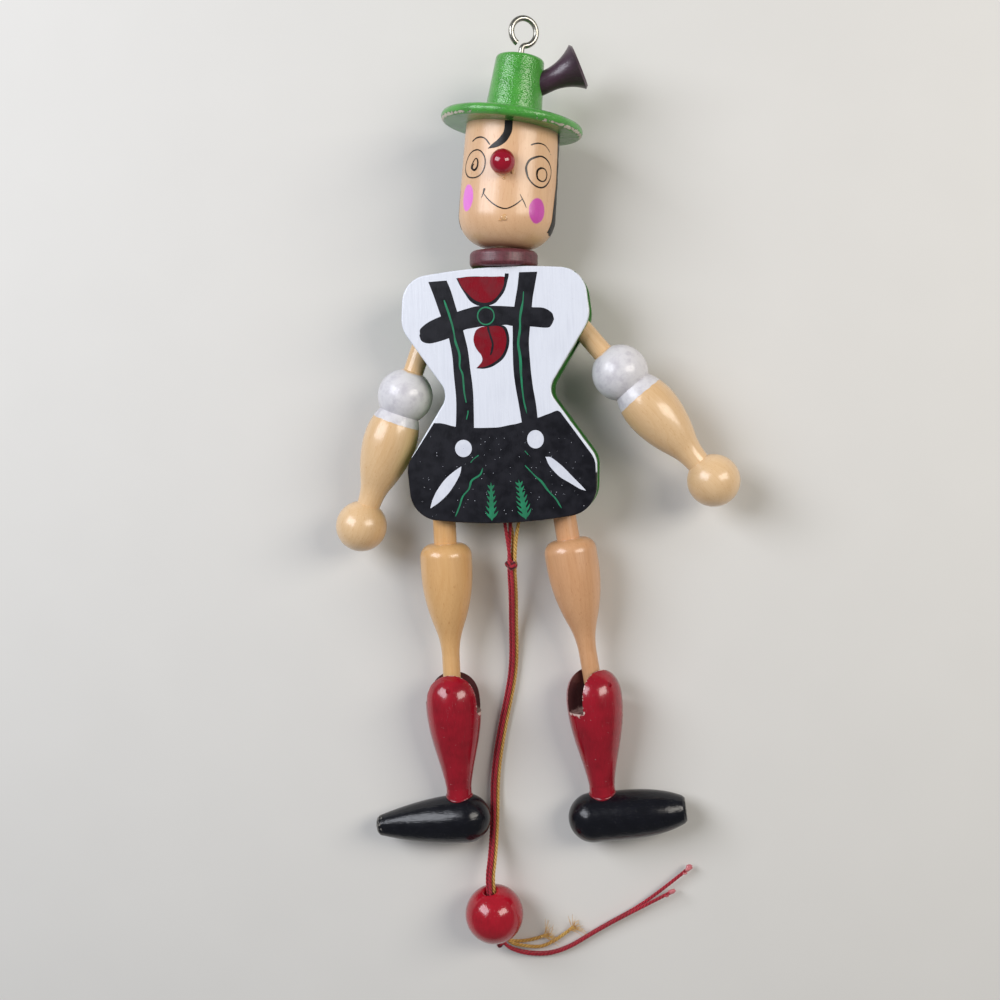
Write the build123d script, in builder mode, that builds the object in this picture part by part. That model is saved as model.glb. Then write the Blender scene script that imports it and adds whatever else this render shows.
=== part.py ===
"""Wooden jumping jack in Tyrolean dress, worked by a pull string, lying on its back as stored.

Row frame in millimetres: Z up from the table, Y towards the head, X to the right of someone looking
down at the figure. The origin is on the table under the middle of the figure's box, cords left out.

The figure lies on the rear edge of its hat brim and on its two shoes, so its plane is tilted. Every
wooden piece is built on that plane: x across the chest, y from the torso's lower edge to the head, z out
of the chest. Left and right are those of someone looking at the figure.
"""

import os
from math import asin, cos, degrees, hypot, pi, radians, sin, sqrt, tan

from build123d import *

os.makedirs("parts", exist_ok=True)

# Torso: two sawn plates with a gap in which the limbs turn
torso_height = 83.6
plate_thickness = 4.0
plate_gap = 8.5
plate_edge_radius = 0.5
shoulder_top_half = 29.7
shoulder_half = 31.2
shoulder_drop = 18.1
waist_half = 16.4
waist_height = 43.0
hip_half = 31.6
hip_height = 20.4
hip_bottom_half = 30.6
top_bulge = 2.3
bottom_bulge = 3.0
top_corner_radius = 9.0
shoulder_radius = 10.0
waist_radius = 6.0
hip_radius = 8.0
bottom_corner_radius = 10.0
shoulder_pivot_x, shoulder_pivot_drop = 21.7, 13.3
hip_pivot_x = {"left": 21.4, "right": 17.8}
hip_pivot_y = 13.0

shoulder_pivot_y = torso_height - shoulder_pivot_drop

# Pivot nails, driven from behind and blind in the front plate
nail_radius = 0.9
nail_head_radius = 2.1
nail_head_height = 0.9
nail_bite = 2.5
pivot_clearance = 0.06

# Neck and head
neck_lean = 6.6
neck_x = 2.79
neck_y = torso_height
neck_radius = 3.4
neck_block_width = 12.0
neck_block_height = 17.0
neck_block_drop = 0.6
neck_peg_depth = 13.0
collar_radius = 11.25
collar_thickness = 5.6
collar_lean = 3.0
collar_rest = 0.15
collar_bore_clearance = 0.45
collar_edge_radius = 1.7
chin_distance = 6.64
head_length = 38.4
head_overlap = 6.0
head_taper = 0.1
head_radius = 15.9
temple_radius = 15.1
jaw_radius = 10.2
head_peg_depth = 12.0
nose_radius = 4.0
nose_height = 24.8
nose_sink = 0.8
nose_seat_drop = 0.55
nose_peg_radius = 1.2
nose_peg_length = 4.0

# Hat, brush and screw eye
hat_tilt = 3.6
hat_shift = -0.55
hat_height = 23.4
brim_radius = 23.4
brim_thickness = 3.5
crown_base_radius = 9.35
crown_top_radius = 8.0
crown_cove = 2.2
crown_edge_radius = 1.3
brush_height = 11.2
brush_angle = 20.0
brush_neck_radius = 3.6
brush_end_radius = 7.45
brush_length = 22.8
brush_neck_end = 12.0
brush_root = 3.4
brush_dish = 0.8
brush_flare = 1.1
brush_chamfer = 0.8
wire_radius = 0.95
eye_ring_radius = 4.3
eye_height = 8.32
eye_shank_depth = 14.0
eye_bend_angle = 75.0
eye_gap_angle = 40.0
eye_turn_angle = 27.0

# Arms: one turned piece each, with a short lever above the pivot for the string
arm_spread = {"left": 22.1, "right": 38.4}
lever_length = 12.4
string_hole_distance = 9.0
string_hole_radius = 1.1
arm_shank_radius = 3.4
sleeve_distance = 29.0
sleeve_radius = 9.25
sleeve_neck_radius = 6.8
sleeve_neck_length = 1.1
cuff_radius = 7.3
forearm_distance = 46.5
forearm_radius = 8.95
forearm_taper_distance = 59.0
forearm_taper_radius = 6.0
wrist_radius = 3.9
hand_distance = 75.8
hand_radius = 8.65

# Legs: a turned thigh whose lower end is pinned in the slot of the shin
leg_spread = {"left": 0.1, "right": 7.2}
thigh_shank_radius = 3.85
thigh_shoulder = 19.8
thigh_radius = 8.75
thigh_shoulder_radius = 4.4
thigh_narrowing = 34.5
thigh_narrowed_radius = 8.35
thigh_taper_distance = 46.0
thigh_taper_radius = 5.75
knee_distance = 68.8
tongue_radius = 3.0
tongue_start = 58.0
shin_splay = {"left": -0.9, "right": -4.7}
knee_pin_turn = {"left": 0.0, "right": 46.0}
knee_pin_radius = 0.8
knee_pin_half_length = 8.0
knee_slot_width = 7.3
knee_slot_depth = {"left": 6.9, "right": 8.0}
knee_slot_slope = {"left": 12.0, "right": 5.0}
shin_top = 4.6
shin_top_flat = 3.2
calf_radius = 9.35
calf_distance = 7.5
knee_side_radius = 8.3
calf_taper_distance = 20.0
calf_taper_radius = 7.6
ankle_radius = 4.3
ankle_distance = 35.0
shoe_distance = 46.0
shoe_socket_floor = 4.0
shoe_socket_clearance = 0.05
shoe_radius = 8.25
shoe_toe_radius = {"left": 3.4, "right": 4.6}
shoe_heel_length = {"left": 10.3, "right": 12.2}
shoe_toe_length = {"left": 29.2, "right": 27.4}
shoe_instep = {"left": 12.0, "right": 9.0}
shoe_instep_radius = {"left": 7.2, "right": 8.1}
shoe_vamp = {"left": 21.0, "right": 19.5}
shoe_vamp_radius = {"left": 5.4, "right": 6.95}
shoe_toe_bevel = 0.8
shoe_cant = {"left": -3.9, "right": 2.5}

# Strings, knot and pull bead
cord_diameter = 1.25
strand_offset = 1.02
end_knot_radius = 1.4
knot_radius = 2.15
bead_radius = 9.85
bead_bore_radius = 2.1
bead_mouth_radius = 0.7
bead_knot_distance = 11.9
bead_x, bead_y = -14.4, -161.1
bore_elevation = 20.0
bore_heading = 7.0
bore_run_out = 11.5
run_share = 0.45

# Where the figure lies: it is carried by the brim's rear edge and by the shoes
torso_turn = 2.2
leg_reach = knee_distance + shoe_distance - hip_pivot_y
hat_lean = neck_lean + hat_tilt
hat_y = neck_y + (chin_distance + head_length) * cos(radians(neck_lean)) - hat_shift * sin(radians(neck_lean))
rest_tilt = degrees(asin((brim_radius - shoe_radius) / (hat_y + brim_thickness / 2 + leg_reach)))
torso_z = shoe_radius + leg_reach * sin(radians(rest_tilt))

# The middle of the box, from the outermost points: both hands, the eye and the left shoe
arm_sine = {hand: sin(radians(arm_spread[hand])) for hand in arm_spread}
reach_left = shoulder_pivot_x + hand_distance * arm_sine["left"] + hand_radius
reach_right = shoulder_pivot_x + hand_distance * arm_sine["right"] + hand_radius
torso_x = (reach_left - reach_right) / 2
eye_distance = hat_height + eye_height + eye_ring_radius + wire_radius
reach_up = hat_y + eye_distance * cos(radians(hat_lean))
shoe_drop = (shoe_toe_length["left"] - shoe_heel_length["left"]) / 2 * sin(radians(shoe_cant["left"]))
reach_down = leg_reach + shoe_radius - shoe_drop
torso_y = (reach_down - reach_up) / 2

across = Vector(1, 0, 0).rotate(Axis.Z, torso_turn)
along = Vector(0, cos(radians(rest_tilt)), sin(radians(rest_tilt))).rotate(Axis.Z, torso_turn)
figure = Plane(origin=(torso_x, torso_y, torso_z), x_dir=across, z_dir=across.cross(along))


def on_plane(base, x=0.0, y=0.0, z=0.0, turned=0.0, about_y=0.0):
    """A plane at (x, y, z) of the base plane, turned about its own Z, then about its own Y."""
    return Plane(base.location * Location((x, y, z), (0, 0, turned)) * Location((0, 0, 0), (0, about_y, 0)))


def turning_axis(plane):
    """The plane's Y axis, about which its turned pieces are round."""
    return Axis(plane.origin, plane.y_dir)


def save(piece, name):
    """Name a finished piece and write it as its own STEP file."""
    piece.part.label = name
    export_step(piece.part, f"parts/{name}.step")


# ---------------------------------------------------------------- torso
half_gap = plate_gap / 2
outward = {"left": -1, "right": 1}
shoulder_pivots = {hand: (side * shoulder_pivot_x, shoulder_pivot_y) for hand, side in outward.items()}
hip_pivots = {hand: (side * hip_pivot_x[hand], hip_pivot_y) for hand, side in outward.items()}
pivots = {"shoulder_pin": shoulder_pivots, "hip_pin": hip_pivots}
all_pivots = [spot for pair in pivots.values() for spot in pair.values()]


# The sawn outline: bowed top and bottom edges, with rounded shoulders, waist and hips
with BuildSketch() as torso_outline:
    top, bottom = torso_height - top_bulge, bottom_bulge
    right_side = [
        (shoulder_top_half, top), (shoulder_half, torso_height - shoulder_drop), (waist_half, waist_height),
        (hip_half, hip_height), (hip_bottom_half, bottom),
    ]
    left_side = [(-x, y) for x, y in reversed(right_side)]
    with BuildLine():
        ThreePointArc(left_side[-1], (0, torso_height), right_side[0])
        Polyline(*right_side)
        ThreePointArc(right_side[-1], (0, 0), left_side[0])
        Polyline(*left_side)
    make_face()
    corner_radii = (bottom_corner_radius, hip_radius, waist_radius, shoulder_radius, top_corner_radius)
    for row, corner_radius in enumerate(corner_radii):
        height = right_side[-1 - row][1]
        fillet(vertices().filter_by(lambda vertex: abs(vertex.Y - height) < 0.01), corner_radius)


with BuildPart() as front_plate:
    with BuildSketch(on_plane(figure, z=half_gap)):
        add(torso_outline.sketch)
    extrude(amount=plate_thickness)
    outer = front_plate.faces().filter_by(figure).sort_by(Axis(figure.origin, figure.z_dir))[-1]
    fillet(outer.edges(), plate_edge_radius)
    with BuildSketch(on_plane(figure, z=half_gap)):
        with Locations(*all_pivots):
            Circle(nail_radius)
    extrude(amount=nail_bite, mode=Mode.SUBTRACT)
save(front_plate, "front_plate")

with BuildPart() as back_plate:
    with BuildSketch(on_plane(figure, z=-half_gap - plate_thickness)):
        add(torso_outline.sketch)
    extrude(amount=plate_thickness)
    outer = back_plate.faces().filter_by(figure).sort_by(Axis(figure.origin, figure.z_dir))[0]
    fillet(outer.edges(), plate_edge_radius)
    with BuildSketch(on_plane(figure, z=-half_gap - plate_thickness)):
        with Locations(*all_pivots):
            Circle(nail_radius)
    extrude(amount=plate_thickness, mode=Mode.SUBTRACT)
save(back_plate, "back_plate")

for pin_name, pair in pivots.items():
    for hand, (pivot_x, pivot_y) in pair.items():
        nail_seat = on_plane(figure, pivot_x, pivot_y, -half_gap - plate_thickness)
        with BuildPart() as pin:
            with BuildSketch(nail_seat):
                Circle(nail_radius)
            extrude(amount=plate_thickness + plate_gap + nail_bite)
            with BuildSketch(nail_seat):
                Circle(nail_head_radius)
            extrude(amount=-nail_head_height)
            rim = pin.edges().filter_by(GeomType.CIRCLE).sort_by(Axis(figure.origin, figure.z_dir))[0]
            fillet(rim, nail_head_height / 2)
        save(pin, f"{pin_name}_{hand}")

# ---------------------------------------------------------------- neck, head and nose
neck = on_plane(figure, neck_x, neck_y, turned=-neck_lean)
neck_block_top = torso_height - neck_block_drop
neck_block_x = neck_x - neck_block_height / 2 * tan(radians(neck_lean))

with BuildPart() as neck_block:
    with BuildSketch(on_plane(figure, z=-half_gap)):
        with Locations((neck_block_x, neck_block_top - neck_block_height / 2)):
            Rectangle(neck_block_width, neck_block_height)
    extrude(amount=plate_gap)
    with BuildSketch(Plane(origin=neck.origin, x_dir=neck.x_dir, z_dir=neck.y_dir)):
        Circle(neck_radius)
    extrude(amount=neck_peg_depth, both=True, mode=Mode.SUBTRACT)
save(neck_block, "neck_block")

neck_peg_length = neck_peg_depth + chin_distance + head_peg_depth
with BuildPart() as neck_peg:
    with BuildSketch(neck):
        with Locations((0, -neck_peg_depth)):
            Rectangle(neck_radius, neck_peg_length, align=(Align.MIN, Align.MIN))
    revolve(axis=turning_axis(neck))
save(neck_peg, "neck_peg")

collar = on_plane(figure, neck_x, torso_height + collar_rest, turned=-collar_lean)
collar_bore_radius = neck_radius + collar_bore_clearance
with BuildPart() as collar_disc:
    with BuildSketch(collar):
        with Locations((collar_bore_radius, 0)):
            Rectangle(collar_radius - collar_bore_radius, collar_thickness, align=(Align.MIN, Align.MIN))
    revolve(axis=turning_axis(collar))
    rims = collar_disc.edges().filter_by(GeomType.CIRCLE).group_by(SortBy.RADIUS)[-1]
    fillet(rims, collar_edge_radius)
save(collar_disc, "collar_disc")

chin = on_plane(neck, y=chin_distance)
hat_base = on_plane(chin, hat_shift, head_length, turned=-hat_tilt)
nose_seat = on_plane(chin, y=nose_height, z=head_radius - nose_seat_drop)
blank_length = head_length + head_overlap
with BuildPart() as head:
    with BuildSketch(chin):
        with BuildLine():
            Line((0, 0), (head_radius - jaw_radius, 0))
            RadiusArc((head_radius - jaw_radius, 0), (head_radius, jaw_radius), -jaw_radius)
            Spline(
                (head_radius, jaw_radius),
                (head_radius - head_taper, head_length / 2),
                (temple_radius, blank_length),
                tangents=((0, 1), (-0.05, 1)),
            )
            Polyline((temple_radius, blank_length), (0, blank_length), (0, 0))
        make_face()
    revolve(axis=turning_axis(chin))
    split(bisect_by=Plane(origin=hat_base.origin, z_dir=hat_base.y_dir), keep=Keep.BOTTOM)
    with BuildSketch(Plane(origin=chin.origin, x_dir=chin.x_dir, z_dir=chin.y_dir)):
        Circle(neck_radius)
    extrude(amount=head_peg_depth, mode=Mode.SUBTRACT)
    with BuildSketch(nose_seat):
        Circle(nose_radius)
    extrude(amount=head_radius, mode=Mode.SUBTRACT)
    with BuildSketch(nose_seat):
        Circle(nose_peg_radius)
    extrude(amount=-nose_peg_length, mode=Mode.SUBTRACT)
save(head, "head")

nose_centre = on_plane(nose_seat, z=nose_radius - nose_sink)
with BuildPart() as nose_bead:
    with Locations(nose_centre.location):
        Sphere(nose_radius)
    split(bisect_by=nose_seat, keep=Keep.TOP)
    with BuildSketch(nose_seat):
        Circle(nose_peg_radius)
    extrude(amount=-nose_peg_length)
save(nose_bead, "nose_bead")

# ---------------------------------------------------------------- hat, brush and screw eye
crown_top = on_plane(hat_base, y=hat_height)
brush_foot = on_plane(hat_base, y=brush_height, turned=hat_lean - 90 + brush_angle)
with BuildPart() as hat:
    with BuildSketch(hat_base):
        with BuildLine():
            rim_x, rim_mid = brim_radius - brim_thickness / 2, brim_thickness / 2
            cove_x, cove_y = crown_base_radius + crown_cove, brim_thickness + crown_cove
            edge_x, edge_y = crown_top_radius - crown_edge_radius, hat_height - crown_edge_radius
            Line((0, 0), (rim_x, 0))
            ThreePointArc((rim_x, 0), (brim_radius, rim_mid), (rim_x, brim_thickness))
            Line((rim_x, brim_thickness), (cove_x, brim_thickness))
            RadiusArc((cove_x, brim_thickness), (crown_base_radius, cove_y), crown_cove)
            Line((crown_base_radius, cove_y), (crown_top_radius, edge_y))
            RadiusArc((crown_top_radius, edge_y), (edge_x, hat_height), -crown_edge_radius)
            Polyline((edge_x, hat_height), (0, hat_height), (0, 0))
        make_face()
    revolve(axis=turning_axis(hat_base))
    brush_seat = on_plane(brush_foot, y=brush_root)
    with BuildSketch(Plane(origin=brush_seat.origin, x_dir=brush_seat.x_dir, z_dir=brush_seat.y_dir)):
        Circle(brush_neck_radius)
    extrude(amount=brush_length, mode=Mode.SUBTRACT)
    with BuildSketch(Plane(origin=crown_top.origin, x_dir=crown_top.x_dir, z_dir=crown_top.y_dir)):
        Circle(wire_radius)
    extrude(amount=-eye_shank_depth, mode=Mode.SUBTRACT)
save(hat, "hat")

with BuildPart() as hat_brush:
    with BuildSketch(brush_foot):
        with BuildLine():
            Polyline((0, brush_root), (brush_neck_radius, brush_root), (brush_neck_radius, brush_neck_end))
            ThreePointArc(
                (brush_neck_radius, brush_neck_end),
                (brush_neck_radius + brush_flare, (brush_neck_end + brush_length) / 2),
                (brush_end_radius, brush_length - brush_chamfer),
            )
            Polyline(
                (brush_end_radius, brush_length - brush_chamfer),
                (brush_end_radius - brush_chamfer, brush_length),
                (0, brush_length - brush_dish),
                (0, brush_root),
            )
        make_face()
    revolve(axis=turning_axis(brush_foot))
save(hat_brush, "hat_brush")

eye_foot = on_plane(crown_top, about_y=eye_turn_angle)
bend_share = cos(radians(eye_bend_angle))
bend_radius = eye_ring_radius * bend_share / (1 - bend_share)
bend_start = eye_height - (eye_ring_radius + bend_radius) * sin(radians(eye_bend_angle))
with BuildPart() as screw_eye:
    with BuildLine(eye_foot) as wire:
        shank = Line((0, -eye_shank_depth), (0, bend_start))
        bend = JernArc(shank @ 1, shank % 1, bend_radius, -eye_bend_angle)
        JernArc(bend @ 1, bend % 1, eye_ring_radius, 360 - eye_gap_angle)
    with BuildSketch(Plane(origin=wire.line @ 0, x_dir=eye_foot.x_dir, z_dir=eye_foot.y_dir)):
        Circle(wire_radius)
    sweep()
save(screw_eye, "screw_eye")

# ---------------------------------------------------------------- arms
def cut_pivot_and_string_holes(pivot):
    """Drill the pivot hole along the plane's Z and the string hole across the lever."""
    with Locations(pivot.location):
        Hole(nail_radius + pivot_clearance)
    string_hole = on_plane(pivot, y=-string_hole_distance, about_y=90)
    with Locations(string_hole.location):
        Cylinder(string_hole_radius, 4 * thigh_shank_radius, mode=Mode.SUBTRACT)


ball_start = sleeve_distance - sqrt(sleeve_radius**2 - arm_shank_radius**2)
ball_end = sleeve_distance + sqrt(sleeve_radius**2 - sleeve_neck_radius**2)
cuff_start = ball_end + sleeve_neck_length
hand_start = hand_distance - sqrt(hand_radius**2 - wrist_radius**2)
for hand, (pivot_x, pivot_y) in shoulder_pivots.items():
    shoulder = on_plane(figure, pivot_x, pivot_y, turned=outward[hand] * (arm_spread[hand] - 180))
    with BuildPart() as arm:
        with BuildSketch(shoulder):
            with BuildLine():
                shank_end = (arm_shank_radius, ball_start)
                Polyline((0, -lever_length), (arm_shank_radius, -lever_length), shank_end)
                ThreePointArc(shank_end, (sleeve_radius, sleeve_distance), (sleeve_neck_radius, ball_end))
                Line((sleeve_neck_radius, ball_end), (cuff_radius, cuff_start))
                Spline(
                    (cuff_radius, cuff_start),
                    (forearm_radius, forearm_distance),
                    (forearm_taper_radius, forearm_taper_distance),
                    (wrist_radius, hand_start),
                    tangents=((0.45, 1), (-0.05, 1)),
                )
                ThreePointArc(
                    (wrist_radius, hand_start),
                    (hand_radius, hand_distance),
                    (0, hand_distance + hand_radius),
                )
                Line((0, hand_distance + hand_radius), (0, -lever_length))
            make_face()
        revolve(axis=turning_axis(shoulder))
        lever_end = arm.edges().filter_by(GeomType.CIRCLE).sort_by(turning_axis(shoulder))[0]
        chamfer(lever_end, arm_shank_radius / 4)
        cut_pivot_and_string_holes(shoulder)
    save(arm, f"arm_{hand}")

# ---------------------------------------------------------------- legs
for hand, (pivot_x, pivot_y) in hip_pivots.items():
    hip = on_plane(figure, pivot_x, pivot_y, turned=outward[hand] * (leg_spread[hand] - 180))
    knee = on_plane(hip, y=knee_distance, turned=outward[hand] * shin_splay[hand])
    knee_pin_plane = on_plane(knee, about_y=-knee_pin_turn[hand])

    with BuildPart() as thigh:
        with BuildSketch(hip):
            with BuildLine():
                Polyline(
                    (0, -lever_length),
                    (thigh_shank_radius, -lever_length),
                    (thigh_shank_radius, thigh_shoulder),
                    (thigh_radius - thigh_shoulder_radius, thigh_shoulder),
                )
                RadiusArc(
                    (thigh_radius - thigh_shoulder_radius, thigh_shoulder),
                    (thigh_radius, thigh_shoulder + thigh_shoulder_radius),
                    -thigh_shoulder_radius,
                )
                Spline(
                    (thigh_radius, thigh_shoulder + thigh_shoulder_radius),
                    (thigh_narrowed_radius, thigh_narrowing),
                    (thigh_taper_radius, thigh_taper_distance),
                    (tongue_radius, tongue_start),
                    tangents=((0, 1), (-0.04, 1)),
                )
                Line((tongue_radius, tongue_start), (tongue_radius, knee_distance))
                RadiusArc(
                    (tongue_radius, knee_distance), (0, knee_distance + tongue_radius), tongue_radius
                )
                Line((0, knee_distance + tongue_radius), (0, -lever_length))
            make_face()
        revolve(axis=turning_axis(hip))
        lever_end = thigh.edges().filter_by(GeomType.CIRCLE).sort_by(turning_axis(hip))[0]
        chamfer(lever_end, thigh_shank_radius / 4)
        cut_pivot_and_string_holes(hip)
        with Locations(knee_pin_plane.location):
            Cylinder(knee_pin_radius + pivot_clearance, 4 * tongue_radius, mode=Mode.SUBTRACT)
    save(thigh, f"thigh_{hand}")

    with BuildPart() as shin:
        with BuildSketch(knee):
            with BuildLine():
                shin_end = shoe_distance - shoe_socket_floor
                Line((0, -shin_top), (shin_top_flat, -shin_top))
                Spline(
                    (shin_top_flat, -shin_top),
                    (knee_side_radius, 0),
                    (calf_radius, calf_distance),
                    (calf_taper_radius, calf_taper_distance),
                    (ankle_radius, ankle_distance),
                )
                Polyline(
                    (ankle_radius, ankle_distance), (ankle_radius, shin_end), (0, shin_end), (0, -shin_top)
                )
            make_face()
        revolve(axis=turning_axis(knee))
        slot_floor = on_plane(knee_pin_plane, y=knee_slot_depth[hand], turned=outward[hand] * knee_slot_slope[hand])
        slot_height = knee_slot_depth[hand] + 2 * calf_radius
        with Locations(on_plane(slot_floor, y=-slot_height / 2).location):
            Box(4 * calf_radius, slot_height, knee_slot_width, mode=Mode.SUBTRACT)
        with Locations(knee_pin_plane.location):
            Cylinder(knee_pin_radius, 4 * calf_radius, mode=Mode.SUBTRACT)
    save(shin, f"shin_{hand}")

    with BuildPart() as knee_pin:
        with BuildSketch(on_plane(knee_pin_plane, z=-knee_pin_half_length)):
            Circle(knee_pin_radius)
        extrude(amount=2 * knee_pin_half_length)
    save(knee_pin, f"knee_pin_{hand}")

    ankle = on_plane(knee, y=shoe_distance)
    toe_turn = outward[hand] * (90 + shoe_cant[hand])
    sole = on_plane(ankle, turned=toe_turn)
    with BuildPart() as shoe:
        with BuildSketch(sole):
            with BuildLine():
                heel_start = shoe_heel_length[hand] - shoe_radius
                RadiusArc((0, -shoe_heel_length[hand]), (shoe_radius, -heel_start), -shoe_radius)
                Spline(
                    (shoe_radius, -heel_start),
                    (shoe_instep_radius[hand], shoe_instep[hand]),
                    (shoe_vamp_radius[hand], shoe_vamp[hand]),
                    (shoe_toe_radius[hand], shoe_toe_length[hand] - shoe_toe_bevel),
                )
                Polyline(
                    (shoe_toe_radius[hand], shoe_toe_length[hand] - shoe_toe_bevel),
                    (shoe_toe_radius[hand] - shoe_toe_bevel, shoe_toe_length[hand]),
                    (0, shoe_toe_length[hand]),
                    (0, -shoe_heel_length[hand]),
                )
            make_face()
        revolve(axis=turning_axis(sole))
        socket = on_plane(ankle, y=-shoe_socket_floor)
        with BuildSketch(Plane(origin=socket.origin, x_dir=socket.x_dir, z_dir=-socket.y_dir)):
            Circle(ankle_radius + shoe_socket_clearance)
        extrude(amount=shoe_radius, mode=Mode.SUBTRACT)
    save(shoe, f"shoe_{hand}")

# ---------------------------------------------------------------- strings, knot and bead
bead_centre = Vector(bead_x, bead_y, bead_radius)
bore = Vector(0, 1, 0).rotate(Axis.X, bore_elevation).rotate(Axis.Z, bore_heading)

# From the knot to the bead the four strands share one route, each beside the next
shared_route = [
    (-8.0, -41.7, 13.7),
    (-7.9, -52.0, 9.2),
    (-8.5, -62.5, 4.4),
    (-8.6, -75.0, 1.8),
    (-9.6, -84.0, 1.7),
    (-13.0, -100.0, 1.7),
    (-15.3, -115.5, 1.7),
    (-15.3, -129.0, 2.2),
    (-15.0, -140.5, 8.4),
]
through_bead = [bead_centre + bore * bore_run_out, bead_centre - bore * bore_run_out]
knot_centre = Vector(*shared_route[0])

# The side of the bundle on which each strand lies
strand_sides = {
    "red_cord_left": (0, 0, 1),
    "red_cord_right": (-1, 0, 0),
    "yellow_cord_left": (0, 0, -1),
    "yellow_cord_right": (1, 0, 0),
}

# From each lever's hole down between the plates to the knot
lever_routes = {
    "red_cord_left": [
        (-34.9, 52.6, 20.2),
        (-25.5, 49.2, 19.9),
        (-20.6, 32.0, 19.0),
        (-15.4, 6.0, 17.8),
        (-10.8, -22.0, 16.1),
    ],
    "red_cord_right": [
        (7.7, 54.2, 20.2),
        (-0.5, 47.2, 19.7),
        (-3.8, 30.0, 18.4),
        (-6.2, 5.0, 16.4),
        (-8.0, -22.0, 14.8),
    ],
    "yellow_cord_left": [
        (-36.8, -5.7, 16.4),
        (-24.8, -5.5, 16.3),
        (-13.2, -18.2, 13.3),
        (-7.3, -29.5, 12.4),
    ],
    "yellow_cord_right": [
        (12.3, -3.4, 16.4),
        (0.4, -5.1, 16.3),
        (-3.4, -19.0, 15.8),
        (-6.2, -31.0, 15.2),
    ],
}

# The free tails below the bead, whose far ends curl up a little from the table
tail_routes = {
    "red_cord_left": [
        (-5.6, -177.3, 2.2),
        (7.0, -176.6, 2.2),
        (21.5, -166.8, 2.5),
        (35.0, -158.9, 3.2),
        (45.2, -153.0, 3.9),
    ],
    "red_cord_right": [
        (-5.6, -177.3, 0.8),
        (7.0, -176.6, 0.8),
        (21.5, -166.8, 1.1),
        (34.0, -159.3, 1.8),
        (43.8, -151.4, 2.5),
        (50.9, -145.1, 2.9),
    ],
    "yellow_cord_left": [
        (-3.8, -173.2, 1.1),
        (1.0, -171.0, 1.6),
    ],
    "yellow_cord_right": [
        (-3.2, -174.6, 2.3),
        (3.4, -174.2, 1.5),
        (10.6, -168.3, 1.6),
    ],
}

for name, side in strand_sides.items():
    shift = Vector(*side) * strand_offset
    points = [Vector(*point) for point in lever_routes[name]]
    points += [Vector(*point) + shift for point in shared_route]
    points += [point + shift for point in through_bead]
    points += [Vector(*point) for point in tail_routes[name]]
    radii = []
    for before, corner, after in zip(points, points[1:], points[2:]):
        run_in, run_out = corner - before, after - corner
        half_turn = radians(run_in.get_angle(run_out)) / 2
        radii.append(run_share * min(run_in.length, run_out.length) / tan(half_turn))
    with BuildPart() as cord:
        with BuildLine() as route:
            FilletPolyline(*points, radius=radii)
        start = Plane(origin=route.line @ 0, z_dir=route.line % 0)
        with BuildSketch(start):
            Circle(cord_diameter / 2)
        sweep()
        tube_volume = cord.part.volume
        with Locations(start.location):
            Sphere(end_knot_radius)
    save(cord, name)
    expected = pi * cord_diameter**2 / 4 * route.wire().length
    print(f"{name}: {route.wire().length:.1f} mm, tightest bend {min(radii):.1f} mm", end=", ")
    print(f"volume {tube_volume:.1f} of {expected:.1f} mm3, radii", [round(radius, 1) for radius in radii])

with BuildPart() as pull_knot:
    with Locations(knot_centre):
        Sphere(knot_radius)
save(pull_knot, "pull_knot")

bead_side = Vector(0, 0, 1).cross(bore)
bead_plane = Plane(origin=bead_centre, x_dir=bead_side, z_dir=bead_side.cross(bore))
mouth_height = sqrt(bead_radius**2 - bead_bore_radius**2)
with BuildPart() as pull_bead:
    with BuildSketch(bead_plane):
        with BuildLine():
            low_mouth, high_mouth = (bead_bore_radius, -mouth_height), (bead_bore_radius, mouth_height)
            ThreePointArc(low_mouth, (bead_radius, 0), high_mouth)
            Line(high_mouth, low_mouth)
        make_face()
        fillet(vertices(), bead_mouth_radius)
    revolve(axis=turning_axis(bead_plane))
save(pull_bead, "pull_bead")

with BuildPart() as bead_knot:
    with Locations(bead_centre - bore * bead_knot_distance):
        Sphere(knot_radius)
save(bead_knot, "bead_knot")
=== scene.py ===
from math import atan2, cos, degrees, pi, radians, sin, tan

import bpy
import numpy as np
from mathutils import Matrix, Vector


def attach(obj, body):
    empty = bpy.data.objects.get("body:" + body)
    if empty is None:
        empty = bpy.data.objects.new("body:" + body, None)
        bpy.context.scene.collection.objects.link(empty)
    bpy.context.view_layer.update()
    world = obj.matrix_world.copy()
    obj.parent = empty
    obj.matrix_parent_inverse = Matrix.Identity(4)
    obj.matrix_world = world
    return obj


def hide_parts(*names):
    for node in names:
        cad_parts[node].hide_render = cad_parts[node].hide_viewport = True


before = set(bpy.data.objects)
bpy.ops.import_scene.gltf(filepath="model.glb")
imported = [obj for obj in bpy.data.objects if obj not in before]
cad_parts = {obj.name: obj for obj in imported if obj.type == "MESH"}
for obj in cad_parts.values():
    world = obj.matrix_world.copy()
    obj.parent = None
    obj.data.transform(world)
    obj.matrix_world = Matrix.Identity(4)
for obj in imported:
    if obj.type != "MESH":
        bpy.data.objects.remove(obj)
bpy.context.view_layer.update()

MM = 0.001
scene = bpy.context.scene
scene.view_settings.view_transform = "Standard"

# =============================================================== frames of the figure
# Lengths are in millimetres up to the moment a mesh is made. A plane is a 4 x 4 matrix: its x, y and z
# axes and its origin in the row frame. The figure's plane has x across the chest, y towards the head and
# z out of the chest.
TORSO_TURN = 2.2
REST_TILT = 3.745
FIGURE_ORIGIN = (-9.283, -27.049, 14.899)


def on_plane(base, x=0.0, y=0.0, z=0.0, turned=0.0, about_y=0.0):
    """The base plane moved to its own (x, y, z), turned about its z and then about its y, in degrees."""
    shift = Matrix.Translation((x, y, z)) @ Matrix.Rotation(radians(turned), 4, "Z")
    return base @ shift @ Matrix.Rotation(radians(about_y), 4, "Y")


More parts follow.
